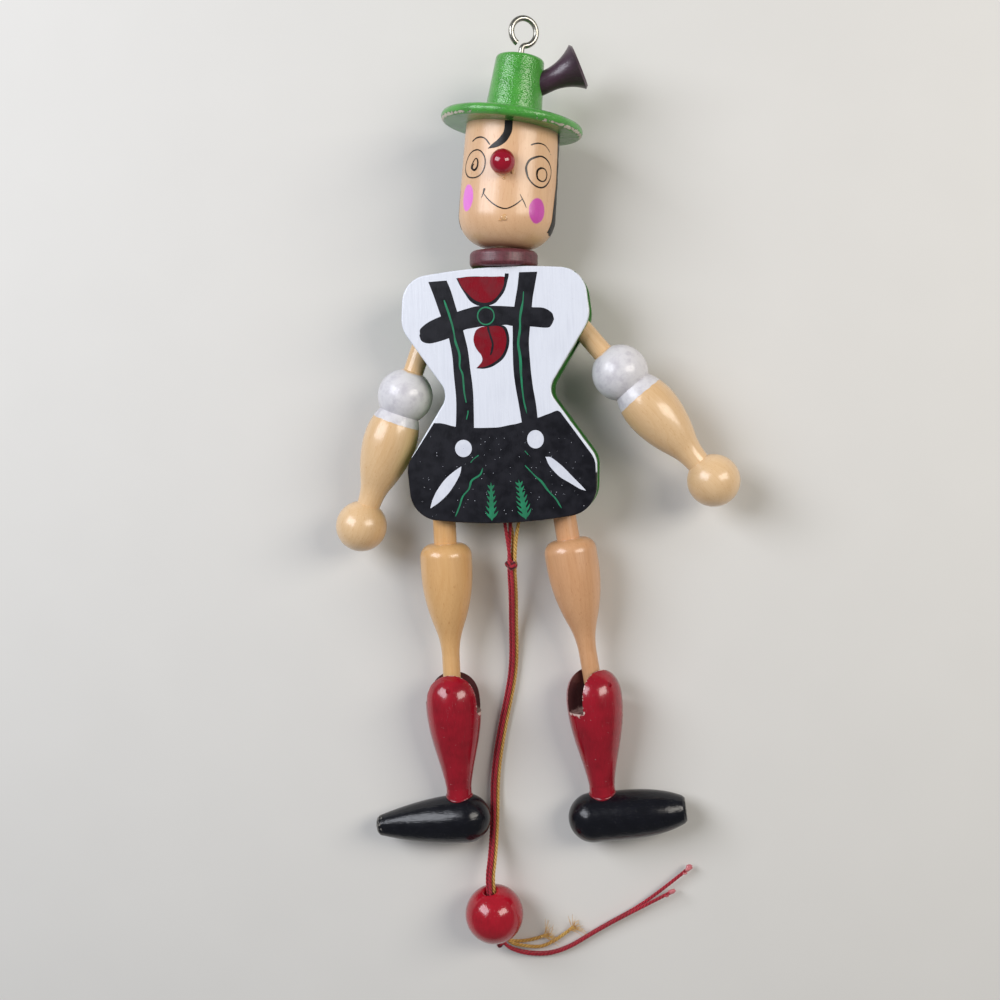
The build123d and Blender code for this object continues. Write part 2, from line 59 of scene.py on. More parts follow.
turn, tilt = radians(TORSO_TURN), radians(REST_TILT)
figure = Matrix((
    (cos(turn), -sin(turn) * cos(tilt), sin(turn) * sin(tilt), FIGURE_ORIGIN[0]),
    (sin(turn), cos(turn) * cos(tilt), -cos(turn) * sin(tilt), FIGURE_ORIGIN[1]),
    (0.0, sin(tilt), cos(tilt), FIGURE_ORIGIN[2]),
    (0.0, 0.0, 0.0, 1.0),
))
PLATE_FRONT = 8.25
NECK_X, NECK_Y, NECK_LEAN, COLLAR_LEAN = 2.79, 83.6, 6.6, 3.0
CHIN_DISTANCE, HEAD_LENGTH, HEAD_RADIUS = 6.64, 38.4, 15.9
HAT_X, HAT_LEAN = -0.55, 3.6
BRUSH_HEIGHT, BRUSH_TURN = 11.2, -59.8
neck = on_plane(figure, NECK_X, NECK_Y, turned=-NECK_LEAN)
chin = on_plane(neck, y=CHIN_DISTANCE)
hat_base = on_plane(chin, HAT_X, HEAD_LENGTH, turned=-HAT_LEAN)
brush_foot = on_plane(hat_base, y=BRUSH_HEIGHT, turned=BRUSH_TURN)
collar = on_plane(figure, NECK_X, NECK_Y + 0.15, turned=-COLLAR_LEAN)
SIDE = {"left": -1, "right": 1}
ARM_SPREAD = {"left": 22.1, "right": 38.4}
SHOULDER_X, SHOULDER_Y = 21.7, 70.3
HIP_X, HIP_Y = {"left": 21.4, "right": 17.8}, 13.0
KNEE_DISTANCE = 68.8
LEG_SPREAD = {"left": 0.1, "right": 7.2}
SHIN_SPLAY = {"left": -0.9, "right": -4.7}
SLOT_HALF = 3.65
SLOT_DEPTH = {"left": 6.9, "right": 8.0}
SLOT_SLOPE = {"left": 12.0, "right": 5.0}
ANKLE_RADIUS, SHOE_RADIUS, SHOE_DISTANCE = 4.3, 8.25, 46.0
KNEE_PIN_TURN = {"left": 0.0, "right": 46.0}
SHOE_CANT = {"left": -3.9, "right": 2.5}
shoulder, hip, knee, knee_slot, sole = {}, {}, {}, {}, {}
for hand, side in SIDE.items():
    half_turn = -180 * side
    shoulder[hand] = on_plane(
        figure, side * SHOULDER_X, SHOULDER_Y, turned=half_turn + side * ARM_SPREAD[hand])
    hip[hand] = on_plane(figure, side * HIP_X[hand], HIP_Y, turned=half_turn + side * LEG_SPREAD[hand])
    knee[hand] = on_plane(hip[hand], y=KNEE_DISTANCE, turned=side * SHIN_SPLAY[hand])
    knee_slot[hand] = on_plane(knee[hand], about_y=-KNEE_PIN_TURN[hand])
    sole[hand] = on_plane(knee[hand], y=SHOE_DISTANCE, turned=side * (90 + SHOE_CANT[hand]))


def placed(points, plane):
    """Points (..., 3) of a plane in the row frame: its origin plus x, y and z times its own axes."""
    m = np.array(plane)
    return np.asarray(points, float) @ m[:3, :3].T + m[:3, 3]


def seen_from(points, plane):
    """Row frame points (..., 3) in a plane's own x, y and z: less its origin, along each of its axes."""
    m = np.array(plane)
    return (np.asarray(points, float) - m[:3, 3]) @ m[:3, :3]


# =============================================================== camera, light and floor
# The lens is as long as 1239 pixels of the 1000 pixel wide photograph. The camera stands 412 mm above the
# foot of the plates and 55 mm to its right, and leans 8 degrees back towards it.
PHOTO_FOCUS, HALF_PHOTO = 1239.0, 500.0
CAMERA_LEAN = 8.0
CAMERA_FROM_FOOT = (55.46, 9.27, 412.25)
camera_data = bpy.data.cameras.new("camera")
camera_data.sensor_fit = "AUTO"
camera_data.angle = 2 * atan2(HALF_PHOTO, PHOTO_FOCUS)
camera = bpy.data.objects.new("camera", camera_data)
scene.collection.objects.link(camera)
scene.camera = camera
camera_turn = Matrix.Rotation(turn, 4, "Z")
look = camera_turn @ Matrix.Rotation(radians(CAMERA_LEAN), 4, "Y") @ camera_turn.inverted()
camera_place = Vector(FIGURE_ORIGIN) + Vector(CAMERA_FROM_FOOT)
camera.matrix_world = Matrix.Translation(camera_place * MM) @ look


def add(tree, kind, *values, links=None, **settings):
    """Adds one node and gives its first output, or the node itself where it has none.

    The settings go on the node. The values then fill, in order, the sockets that these settings leave in
    use, and links fill sockets by name. Each is a number, a vector, a colour or the output of another
    node."""
    made = tree.nodes.new("ShaderNode" + kind)
    for key, value in settings.items():
        setattr(made, key, value)
    in_use = [socket for socket in made.inputs if socket.enabled]
    named = [(made.inputs[key], value) for key, value in (links or {}).items()]
    for socket, value in [*zip(in_use, values), *named]:
        if isinstance(value, bpy.types.NodeSocket):
            tree.links.new(value, socket)
        else:
            socket.default_value = value
    return next((output for output in made.outputs if output.enabled), made)


def srgb(code):
    """An sRGB hex colour as linear red, green, blue and alpha.

    A value up to 0.04045 is divided by 12.92; above, it is ((value + 0.055) / 1.055) to the power 2.4."""
    values = np.array([int(code[i:i + 2], 16) for i in (1, 3, 5)]) / 255
    linear = np.where(values <= 0.04045, values / 12.92, ((values + 0.055) / 1.055) ** 2.4)
    return (*[float(x) for x in linear], 1.0)


def stage_light(name, place, aim, size, watts, colour):
    """A rectangular soft lamp at a place in millimetres, turned to face the aim."""
    lamp = bpy.data.lights.new(name, "AREA")
    lamp.shape = "RECTANGLE"
    lamp.size, lamp.size_y = size[0] * MM, size[1] * MM
    lamp.energy = watts
    lamp.color = srgb(colour)[:3]
    holder = bpy.data.objects.new(name, lamp)
    scene.collection.objects.link(holder)
    way = Vector(aim) - Vector(place)
    turned = way.to_track_quat("-Z", "Y").to_matrix().to_4x4()
    holder.matrix_world = Matrix.Translation(Vector(place) * MM) @ turned


stage_light("window", (-520, 260, 620), (0, 0, 0), (420, 640), 6.0, "#F4F7FF")
stage_light("second_window", (560, 180, 560), (0, 0, 0), (300, 520), 3.6, "#FFF9F0")

world = bpy.data.worlds.new("room")
scene.world = world
world.use_nodes = True
world.node_tree.nodes.clear()
add(world.node_tree, "OutputWorld", add(world.node_tree, "Background", srgb("#E9ECF0"), 0.2))

FLOOR_HALF = 1600.0
floor_mesh = bpy.data.meshes.new("floor")
floor_mesh.from_pydata(
    [(x * FLOOR_HALF * MM, y * FLOOR_HALF * MM, 0) for x, y in ((-1, -1), (1, -1), (1, 1), (-1, 1))],
    [], [(0, 1, 2, 3)])
floor = bpy.data.objects.new("floor", floor_mesh)
scene.collection.objects.link(floor)


# =============================================================== surfaces
def grid_faces(rows, columns, loop_rows=False, loop_columns=False, first=0):
    """Quads of a rows x columns grid of points, numbered row by row, closed along either way if asked."""
    r = np.arange(rows if loop_rows else rows - 1)
    c = np.arange(columns if loop_columns else columns - 1)
    r, c = np.meshgrid(r, c, indexing="ij")
    r2, c2 = (r + 1) % rows, (c + 1) % columns
    quads = np.stack([r * columns + c, r2 * columns + c, r2 * columns + c2, r * columns + c2], -1)
    return quads.reshape(-1, 4) + first


def facing_out(points, faces):
    """The faces of a closed shell, turned round if its signed volume is negative.

    faces is a list of arrays, one row of corners for each face. The volume is a sixth of the sum, over each
    face's fan of triangles a, b, c, of a . (b x c)."""
    volume = 0.0
    for group in faces:
        p = points[group]
        for k in range(1, group.shape[1] - 1):
            volume += np.einsum("ij,ij->", p[:, 0], np.cross(p[:, k], p[:, k + 1]))
    return [group[:, ::-1] for group in faces] if volume < 0 else faces


def make_piece(name, shells, finish, smooth=True):
    """One mesh object of closed shells: (points in row-frame millimetres, list of face arrays, uv per
    point)."""
    points, faces, uvs, count = [], [], [], 0
    for shell_points, shell_faces, shell_uv in shells:
        p = np.asarray(shell_points, float).reshape(-1, 3)
        points.append(p)
        for group in facing_out(p, shell_faces):
            faces.extend((group + count).tolist())
        uvs.append(np.asarray(shell_uv, float).reshape(-1, 2))
        count += len(p)
    mesh = bpy.data.meshes.new(name)
    mesh.from_pydata((np.concatenate(points) * MM).tolist(), [], faces)
    layer = mesh.uv_layers.new(name="surface")
    corner = np.zeros(len(mesh.loops), dtype=np.int32)
    mesh.loops.foreach_get("vertex_index", corner)
    layer.data.foreach_set("uv", np.concatenate(uvs)[corner].ravel())
    mesh.polygons.foreach_set("use_smooth", np.full(len(mesh.polygons), smooth))
    mesh.materials.append(finish)
    mesh.update()
    made = bpy.data.objects.new(name, mesh)
    scene.collection.objects.link(made)
    return made


def smooth_line(points, count, closed=False):
    """A Catmull-Rom curve through given points, sampled at evenly spaced values of its parameter.

    Between points b and c with neighbours a and d, and t from 0 to 1, it is
    half of (2b + (c - a) t + (2a - 5b + 4c - d) t^2 + (3b - a - 3c + d) t^3)."""
    p = np.asarray(points, float)
    if closed:
        padded = np.concatenate([p[-1:], p, p[:2]])
        spans = len(p)
    else:
        padded = np.concatenate([2 * p[:1] - p[1:2], p, 2 * p[-1:] - p[-2:-1]])
        spans = len(p) - 1
    u = np.linspace(0, spans, count, endpoint=not closed)
    i = np.minimum(u.astype(int), spans - 1)
    t = (u - i)[:, None]
    a, b, c, d = (padded[i + k] for k in range(4))
    return 0.5 * (2 * b + (c - a) * t + (2 * a - 5 * b + 4 * c - d) * t**2 + (3 * b - a - 3 * c + d) * t**3)


def unit(vectors):
    """Vectors divided by their own lengths."""
    return vectors / np.linalg.norm(vectors, axis=-1, keepdims=True)


def along_line(points):
    """Distance along a line of points, from its start."""
    return np.concatenate([[0], np.cumsum(np.linalg.norm(np.diff(points, axis=0), axis=1))])


def evenly(points, count):
    """The line of points again, as count points at even distances along it."""
    reach = along_line(points)
    places = np.linspace(0, reach[-1], count)
    return np.stack([np.interp(places, reach, points[:, k]) for k in range(points.shape[1])], -1)


def wobble(count, size, seed):
    """A smooth random offset of about the given size for each of count points.

    Between random knots a and b it is a (1 - t) + b t, where t is (1 - cos(pi share)) / 2 for a share of
    the way."""
    rng = np.random.default_rng(seed)
    knots = max(3, count // 6)
    values = rng.normal(0, size, knots + 1)
    u = np.linspace(0, knots - 1e-6, count)
    i = u.astype(int)
    t = (1 - np.cos((u - i) * pi)) / 2
    return values[i] * (1 - t) + values[i + 1] * t


def film(name, patches, surface, finish, thickness):
    """A dried film of ink or paint, from patches: a grid (rows, columns, 2) of flat places, and its lift.

    surface(place, lift) gives row-frame points. The film's top lies lift + thickness above the surface and
    its edge is closed down to lift, so that it is a thin shell."""
    shells = []
    for flat, lift in patches:
        rows, columns = flat.shape[:2]
        low, high = surface(flat, lift), surface(flat, lift + thickness)
        size = rows * columns
        points = np.concatenate([low.reshape(-1, 3), high.reshape(-1, 3)])
        top = grid_faces(rows, columns, first=size)
        bottom = grid_faces(rows, columns)[:, ::-1]
        ids = np.arange(size).reshape(rows, columns)
        rim = np.concatenate([ids[0, :-1], ids[:-1, -1], ids[-1, :0:-1], ids[:0:-1, 0]])
        after = np.roll(rim, -1)
        side = np.stack([rim, after, after + size, rim + size], -1)
        shells.append((points, [top, bottom, side], np.concatenate([flat.reshape(-1, 2)] * 2)))
    made = make_piece(name, shells, finish, smooth=False)
    made.data.validate()
    return made


def between(edge_a, edge_b, across):
    """A grid of places on straight lines from each point of one edge to the matching point of the other."""
    t = np.linspace(0, 1, across)[None, :, None]
    return edge_a[:, None, :] * (1 - t) + edge_b[:, None, :] * t


def disc(centre, radii, around=28, rings=3):
    """A flat oval: rings of points at equal shares of its radii, closed round its centre."""
    angle = np.linspace(0, 2 * pi, around + 1)[:, None]
    share = np.linspace(0.02, 1, rings)[None, :]
    x = centre[0] + radii[0] * share * np.cos(angle)
    y = centre[1] + radii[1] * share * np.sin(angle)
    return np.stack([x, y], -1)


def stroke(points, width, count=48, seed=0, rough=0.03, closed=False, ends=0.45):
    """A brush line: a smooth line widened by half its width to each side, narrowing to its ends.

    width is one number, or several spread evenly along the line. Over the first and last 6 hundredths of
    the line it grows from the share ends to 1 as a square root. Each edge wobbles by about rough."""
    line = smooth_line(points, count, closed)
    if closed:
        line = np.concatenate([line, line[:1]])
    widths = np.interp(np.linspace(0, 1, len(line)), np.linspace(0, 1, np.size(width)), np.atleast_1d(width))
    way = unit(np.gradient(line, axis=0))
    if closed:
        way[0] = way[-1] = unit(way[0] + way[-1])
    normal = np.stack([-way[:, 1], way[:, 0]], -1)
    u = np.linspace(0, 1, len(line))
    from_end = np.clip(np.minimum(u, 1 - u) / 0.06, 0, 1)
    taper = 1.0 if closed else ends + (1 - ends) * np.sqrt(from_end)
    half = (widths / 2 * taper)[:, None]
    noise = [wobble(len(line), rough, seed + k)[:, None] for k in (0, 1)]
    if closed:
        for n in noise:
            n[-1] = n[0]
    return between(line + normal * (half + noise[0]), line - normal * (half + noise[1]), 3)


def path_frames(path):
    """Tangent, side and top directions along a path that never runs straight up.

    The side is the tangent crossed with the upright, and the top is the side crossed with the tangent."""
    tangent = unit(np.gradient(path, axis=0))
    side = unit(np.cross(tangent, (0.0, 0.0, 1.0)))
    return tangent, side, np.cross(side, tangent)


def tube(path, radius, around, closed=False):
    """A tube round a path, with its own radius at each point, closed by a low cone at each end.

    Point (i, k) is path i plus radius i times (cos k * side + sin k * top)."""
    path = np.asarray(path, float)
    if closed:
        tangent = unit(np.roll(path, -1, axis=0) - np.roll(path, 1, axis=0))
        mean = path.mean(axis=0)
        side = unit(np.cross(tangent, path - mean))
        top = np.cross(side, tangent)
    else:
        tangent, side, top = path_frames(path)
    radius = np.broadcast_to(radius, len(path)).astype(float)
    angle = np.linspace(0, 2 * pi, around, endpoint=False)
    ring = np.cos(angle)[None, :, None] * side[:, None, :] + np.sin(angle)[None, :, None] * top[:, None, :]
    points = path[:, None, :] + ring * radius[:, None, None]
    reach = along_line(path)
    uv = np.stack(np.broadcast_arrays(reach[:, None], np.linspace(0, 1, around)[None, :]), -1)
    wall = grid_faces(len(path), around, loop_rows=closed, loop_columns=True)[:, ::-1]
    if closed:
        return points, [wall], uv
    tips = np.stack([path[0] - tangent[0] * radius[0] * 0.4, path[-1] + tangent[-1] * radius[-1] * 0.4])
    size = len(path) * around
    corner = np.arange(around)
    after = np.roll(corner, -1)
    start = np.stack([corner, after, np.full(around, size)], -1)
    end = np.stack([size - around + after, size - around + corner, np.full(around, size + 1)], -1)
    all_uv = np.concatenate([uv.reshape(-1, 2), [[0, 0], [reach[-1], 0]]])
    return np.concatenate([points.reshape(-1, 3), tips]), [wall, start, end], all_uv


def blob(centre, radii, seed, bumps, plane, around=20, rings=12):
    """A drop of glue or melted string: an oval body with a few low waves, turned as the plane is.

    Point (v, u) is the radii times (sin v cos u, sin v sin u, cos v), times 1 plus bumps / 2 of three
    waves."""
    rng = np.random.default_rng(seed)
    u = np.linspace(0, 2 * pi, around, endpoint=False)[None, :]
    v = np.linspace(0.06, pi - 0.06, rings)[:, None]
    waves = [np.sin(k * u + rng.uniform(0, 6)) * np.sin((k + 1) * v + rng.uniform(0, 6)) for k in (1, 2, 3)]
    swell = 1 + bumps / 2 * sum(waves)
    x = radii[0] * swell * np.sin(v) * np.cos(u)
    y = radii[1] * swell * np.sin(v) * np.sin(u)
    z = radii[2] * swell * np.cos(v) * np.ones_like(u)
    points = np.stack([x, y, z], -1)
    flat = np.concatenate([points.reshape(-1, 3), [points[0].mean(axis=0)], [points[-1].mean(axis=0)]])
    size = rings * around
    corner = np.arange(around)
    after = np.roll(corner, -1)
    top = np.stack([np.full(around, size), corner, after], -1)
    bottom = np.stack([np.full(around, size + 1), size - around + after, size - around + corner], -1)
    faces = [grid_faces(rings, around, loop_columns=True), top, bottom]
    return flat @ np.array(plane)[:3, :3].T + np.asarray(centre, float), faces, np.zeros((size + 2, 2))


# =============================================================== materials
SMOOTH = {"interpolation_type": "SMOOTHSTEP"}
COLOURS = {"data_type": "RGBA"}


def material(name):
    """An empty material and its node tree."""
    made = bpy.data.materials.new(name)
    made.use_nodes = True
    made.node_tree.nodes.clear()
    return made, made.node_tree


def own_place(tree, plane):
    """The surface point in a plane's own axes, in millimetres: less its origin, turned back by its angles."""
    here = add(tree, "TexCoord").node.outputs["Object"]
    return add(tree, "Mapping", here, plane.to_translation() * MM, plane.to_euler("XYZ"), (MM, MM, MM),
               vector_type="TEXTURE")


def row_place(tree):
    """The surface point in the row frame, in millimetres."""
    here = add(tree, "TexCoord").node.outputs["Object"]
    return add(tree, "Mapping", here, links={"Scale": (1 / MM, 1 / MM, 1 / MM)})


def lumps(tree, place, size, detail=2.0, roughness=0.5, stretch=(1, 1, 1)):
    """A cloudy pattern from 0 to 1 whose lumps are about size millimetres across, times stretch along each
    axis.

    The place is divided by size * stretch and looked up in a noise of scale 1."""
    scaled = add(tree, "Mapping", place, links={"Scale": [1 / (size * s) for s in stretch]})
    return add(tree, "TexNoise", scaled, 1.0, detail, roughness)


def radius_of(tree, a, b):
    """How far a point at a and b is from the middle: the square root of a * a + b * b."""
    squares = [add(tree, "Math", side, side, operation="MULTIPLY") for side in (a, b)]
    return add(tree, "Math", add(tree, "Math", *squares, operation="ADD"), operation="SQRT")


PITH_X, PITH_Z = 21.0, 6.0


def turned_wood(tree, place, pale, dark, ring=1.7, seed=(0, 0, 0)):
    """Colour and height of close-grained wood turned with its grain along y.

    Growth rings are nested tubes about a pith to one side, seen where the turned shape cuts them: a ring's
    phase is the distance from the pith plus 5 times a slow sway, divided by the ring's width, and its dark
    late wood is the cube of the phase's fraction. Dark ray flecks of about 0.45 by 2 mm, drawn coarse
    enough to show, and fine pores run along the grain."""
    shifted = add(tree, "VectorMath", place, seed, operation="ADD")
    across, _, deep = add(tree, "SeparateXYZ", shifted).node.outputs
    x = add(tree, "Math", across, PITH_X, operation="ADD")
    z = add(tree, "Math", deep, PITH_Z, operation="ADD")
    sway = lumps(tree, shifted, 7.0, stretch=(1, 6, 1))
    phase = add(tree, "Math", sway, 5.0, radius_of(tree, x, z), operation="MULTIPLY_ADD")
    wave = add(tree, "Math", add(tree, "Math", phase, ring, operation="DIVIDE"), operation="FRACT")
    late = add(tree, "Math", wave, 3.0, operation="POWER")
    pores = lumps(tree, shifted, 0.32, 3.0, 0.6, stretch=(1, 22, 1))
    rays = lumps(tree, shifted, 0.45, 1.0, stretch=(1, 4.5, 1))
    flecks = add(tree, "MapRange", rays, 0.66, 0.74, **SMOOTH)
    clouds = lumps(tree, shifted, 11.0, stretch=(1, 3, 1))
    fine = add(tree, "Math", pores, 0.5, -0.06, operation="MULTIPLY_ADD")
    grain = add(tree, "Math", late, 0.1, fine, operation="MULTIPLY_ADD")
    grain = add(tree, "Math", grain, 0.16, operation="SUBTRACT")
    share = add(tree, "Math", clouds, 0.55, grain, operation="MULTIPLY_ADD")
    share = add(tree, "MapRange", share, 0.0, 0.85, **SMOOTH)
    colour = add(tree, "Mix", share, srgb(pale), srgb(dark), **COLOURS)
    fleck_share = add(tree, "Math", flecks, 0.28, operation="MULTIPLY")
    colour = add(tree, "Mix", fleck_share, colour, srgb(dark), blend_type="MULTIPLY", **COLOURS)
    raised = add(tree, "Math", late, 0.08, operation="MULTIPLY")
    return colour, add(tree, "Math", pores, 0.5, raised, operation="MULTIPLY_ADD")


def brushed_paint(tree, place, colour, shade, streak=(1, 1, 1), patch=6.0):
    """Colour and height of hand-brushed gloss paint: thick and thin patches, faint bristle streaks, dust.

    The shade's share grows with 0.8 patches + 0.4 bristles; the height is patches + half bristles + half
    grit."""
    patches = lumps(tree, place, patch, 3.0)
    bristles = lumps(tree, place, 0.5, stretch=streak)
    grit = add(tree, "MapRange", lumps(tree, place, 0.5, 1.0), 0.68, 0.76, **SMOOTH)
    streaks = add(tree, "Math", bristles, 0.4, -0.2, operation="MULTIPLY_ADD")
    share = add(tree, "Math", patches, 0.8, streaks, operation="MULTIPLY_ADD")
    share = add(tree, "MapRange", share, 0.15, 0.85, **SMOOTH)
    mixed = add(tree, "Mix", share, srgb(colour), srgb(shade), **COLOURS)
    film_height = add(tree, "Math", bristles, 0.5, patches, operation="MULTIPLY_ADD")
    grit_height = add(tree, "Math", grit, 0.5, operation="MULTIPLY")
    return mixed, add(tree, "Math", film_height, grit_height, operation="ADD")


def gloss_paint(name, plane, colour, shade, chips=None, streak=(1, 1, 1), rough=0.22, relief=0.06, patch=6.0,
                chip_colour="#E9E4DA", chip_edge="#B9A98C", coat=0.35, mirror=0.5):
    """Gloss alkyd paint brushed on wood: thick, uneven, and chipped to the white ground where it is worn.

    chips(tree, x, y, z) gives where wear can take the paint off, from 0 to 1. The paint is off where flakes
    of 1.5 mm plus 0.42 of that wear pass 0.8, with a shaded rim just outside."""
    made, tree = material(name)
    place = own_place(tree, plane)
    mixed, height = brushed_paint(tree, place, colour, shade, streak, patch)
    roughness = rough
    if chips:
        allowed = chips(tree, *add(tree, "SeparateXYZ", place).node.outputs)
        flakes = lumps(tree, place, 1.5, 4.0, 0.62)
        worn = add(tree, "Math", allowed, 0.42, flakes, operation="MULTIPLY_ADD")
        bare = add(tree, "MapRange", worn, 0.80, 0.83, **SMOOTH)
        rim = add(tree, "MapRange", worn, 0.775, 0.80, **SMOOTH)
        ground = add(tree, "Mix", lumps(tree, place, 0.7), srgb(chip_colour), srgb(chip_edge), **COLOURS)
        rim_shade = add(tree, "Math", rim, 0.45, operation="MULTIPLY")
        mixed = add(tree, "Mix", rim_shade, mixed, srgb(shade), blend_type="MULTIPLY", **COLOURS)
        mixed = add(tree, "Mix", bare, mixed, ground, **COLOURS)
        sunk = add(tree, "Math", bare, 1.6, operation="MULTIPLY")
        height = add(tree, "Math", height, sunk, operation="SUBTRACT")
        roughness = add(tree, "MapRange", bare, 0.0, 1.0, rough, 0.72, **SMOOTH)
    bumps = add(tree, "Bump", links={"Height": height, "Distance": relief * MM})
    add(tree, "OutputMaterial", add(tree, "BsdfPrincipled", links={
        "Base Color": mixed, "Roughness": roughness, "IOR": 1.5, "Specular IOR Level": mirror,
        "Coat Weight": coat, "Coat Roughness": 0.08, "Normal": bumps, "Coat Normal": bumps}))
    return made


def printed_ink(name, colour, shade, rough=0.3):
    """Screen-printed or brushed ink on the figure's plane: dense, slightly glossy, a little uneven in
    depth."""
    made, tree = material(name)
    place = own_place(tree, figure)
    patches = lumps(tree, place, 3.5, 3.0)
    grain = lumps(tree, place, 0.35, stretch=(1, 5, 1))
    share = add(tree, "Math", grain, 0.4, patches, operation="MULTIPLY_ADD")
    share = add(tree, "MapRange", share, 0.35, 0.95, **SMOOTH)
    height = add(tree, "Math", grain, 0.6, patches, operation="MULTIPLY_ADD")
    bumps = add(tree, "Bump", links={"Height": height, "Distance": 0.03 * MM})
    add(tree, "OutputMaterial", add(tree, "BsdfPrincipled", links={
        "Base Color": add(tree, "Mix", share, srgb(colour), srgb(shade), **COLOURS),
        "Roughness": add(tree, "MapRange", patches, 0.3, 0.7, rough - 0.06, rough + 0.1, **SMOOTH),
        "IOR": 1.5, "Specular IOR Level": 0.3, "Coat Weight": 0.05, "Coat Roughness": 0.15, "Normal": bumps}))
    return made


PRINT_BLACK = "#08080F"
INK_BLACK = printed_ink("screen_printed_black_ink", PRINT_BLACK, "#10101A", 0.38)
INK_RED = printed_ink("screen_printed_red_ink", "#86081C", "#720618")
INK_GREEN = printed_ink("screen_printed_green_ink", "#2F8E66", "#24704F")
INK_WHITE = printed_ink("brushed_white_enamel_dots", "#E3E6EF", "#D2D6E2", 0.35)
PEN_BLACK = printed_ink("brush_drawn_black_lacquer", "#15110F", "#241A14", 0.25)
HAIR_BLACK = printed_ink("brushed_black_lacquer_hair", "#0A0809", "#141112", 0.34)
PLATE_GREEN, PLATE_GREEN_SHADE = "#468A3B", "#2E6A2C"


def front_plate_paint():
    """White gloss paint rolled on the sawn birch ply face, and green paint brushed over its sawn edges.

    The white stops in an uneven line about 0.4 mm below the face, where the rounded edge starts. The black
    of the shorts runs over the rounding, where the height plus 0.12 of the way to the right is below 19
    mm."""
    made, tree = material("white_gloss_paint_on_plywood")
    place = own_place(tree, figure)
    across, up, out = add(tree, "SeparateXYZ", place).node.outputs
    streaks = lumps(tree, place, 0.42, 3.0, 0.6, stretch=(1, 26, 1))
    patches = lumps(tree, place, 9.0, 3.0)
    faint = add(tree, "Math", patches, 0.6, -0.4, operation="MULTIPLY_ADD")
    share = add(tree, "Math", streaks, 0.8, faint, operation="MULTIPLY_ADD")
    share = add(tree, "MapRange", share, 0.1, 0.8, **SMOOTH)
    white = add(tree, "Mix", share, srgb("#E2E6F0"), srgb("#D3D7E2"), **COLOURS)
    dirt = add(tree, "MapRange", lumps(tree, place, 1.4, 5.0, 0.7), 0.68, 0.76, **SMOOTH)
    dirt = add(tree, "Math", dirt, 0.35, operation="MULTIPLY")
    white = add(tree, "Mix", dirt, white, srgb("#A6A89E"), **COLOURS)
    green_patches = lumps(tree, place, 4.0, 3.0, stretch=(1, 1, 0.6))
    green_share = add(tree, "MapRange", green_patches, 0.35, 0.65, **SMOOTH)
    green = add(tree, "Mix", green_share, srgb(PLATE_GREEN), srgb(PLATE_GREEN_SHADE), **COLOURS)
    wavy = add(tree, "Math", lumps(tree, place, 2.2, 3.0), 1.1, out, operation="MULTIPLY_ADD")
    on_face = add(tree, "MapRange", wavy, PLATE_FRONT + 0.12, PLATE_FRONT + 0.22, **SMOOTH)
    on_rounding = add(tree, "MapRange", wavy, PLATE_FRONT - 0.3, PLATE_FRONT - 0.2, **SMOOTH)
    slanting = add(tree, "Math", across, 0.12, up, operation="MULTIPLY_ADD")
    below_waist = add(tree, "MapRange", slanting, 19.0, 19.6, 1.0, 0.0, **SMOOTH)
    shorts_rim = add(tree, "Math", on_rounding, below_waist, operation="MULTIPLY")
    colour = add(tree, "Mix", on_face, green, white, **COLOURS)
    height = add(tree, "Math", patches, 0.6, streaks, operation="MULTIPLY_ADD")
    bumps = add(tree, "Bump", links={"Height": height, "Distance": 0.05 * MM})
    add(tree, "OutputMaterial", add(tree, "BsdfPrincipled", links={
        "Base Color": add(tree, "Mix", shorts_rim, colour, srgb(PRINT_BLACK), **COLOURS),
        "Roughness": add(tree, "MapRange", patches, 0.3, 0.7, 0.26, 0.38, **SMOOTH),
        "IOR": 1.5, "Coat Weight": 0.25, "Coat Roughness": 0.12, "Normal": bumps, "Coat Normal": bumps}))
    return made


# Each cheek: (way round the face, height above the chin), (half its width, half its height), pink, deeper
# pink
CHEEKS = [((-13.3, 14.4), (3.0, 4.4), "#F27FE6", "#E86FDB"), ((12.4, 11.2), (3.3, 4.1), "#D63FBA", "#BE34A4")]


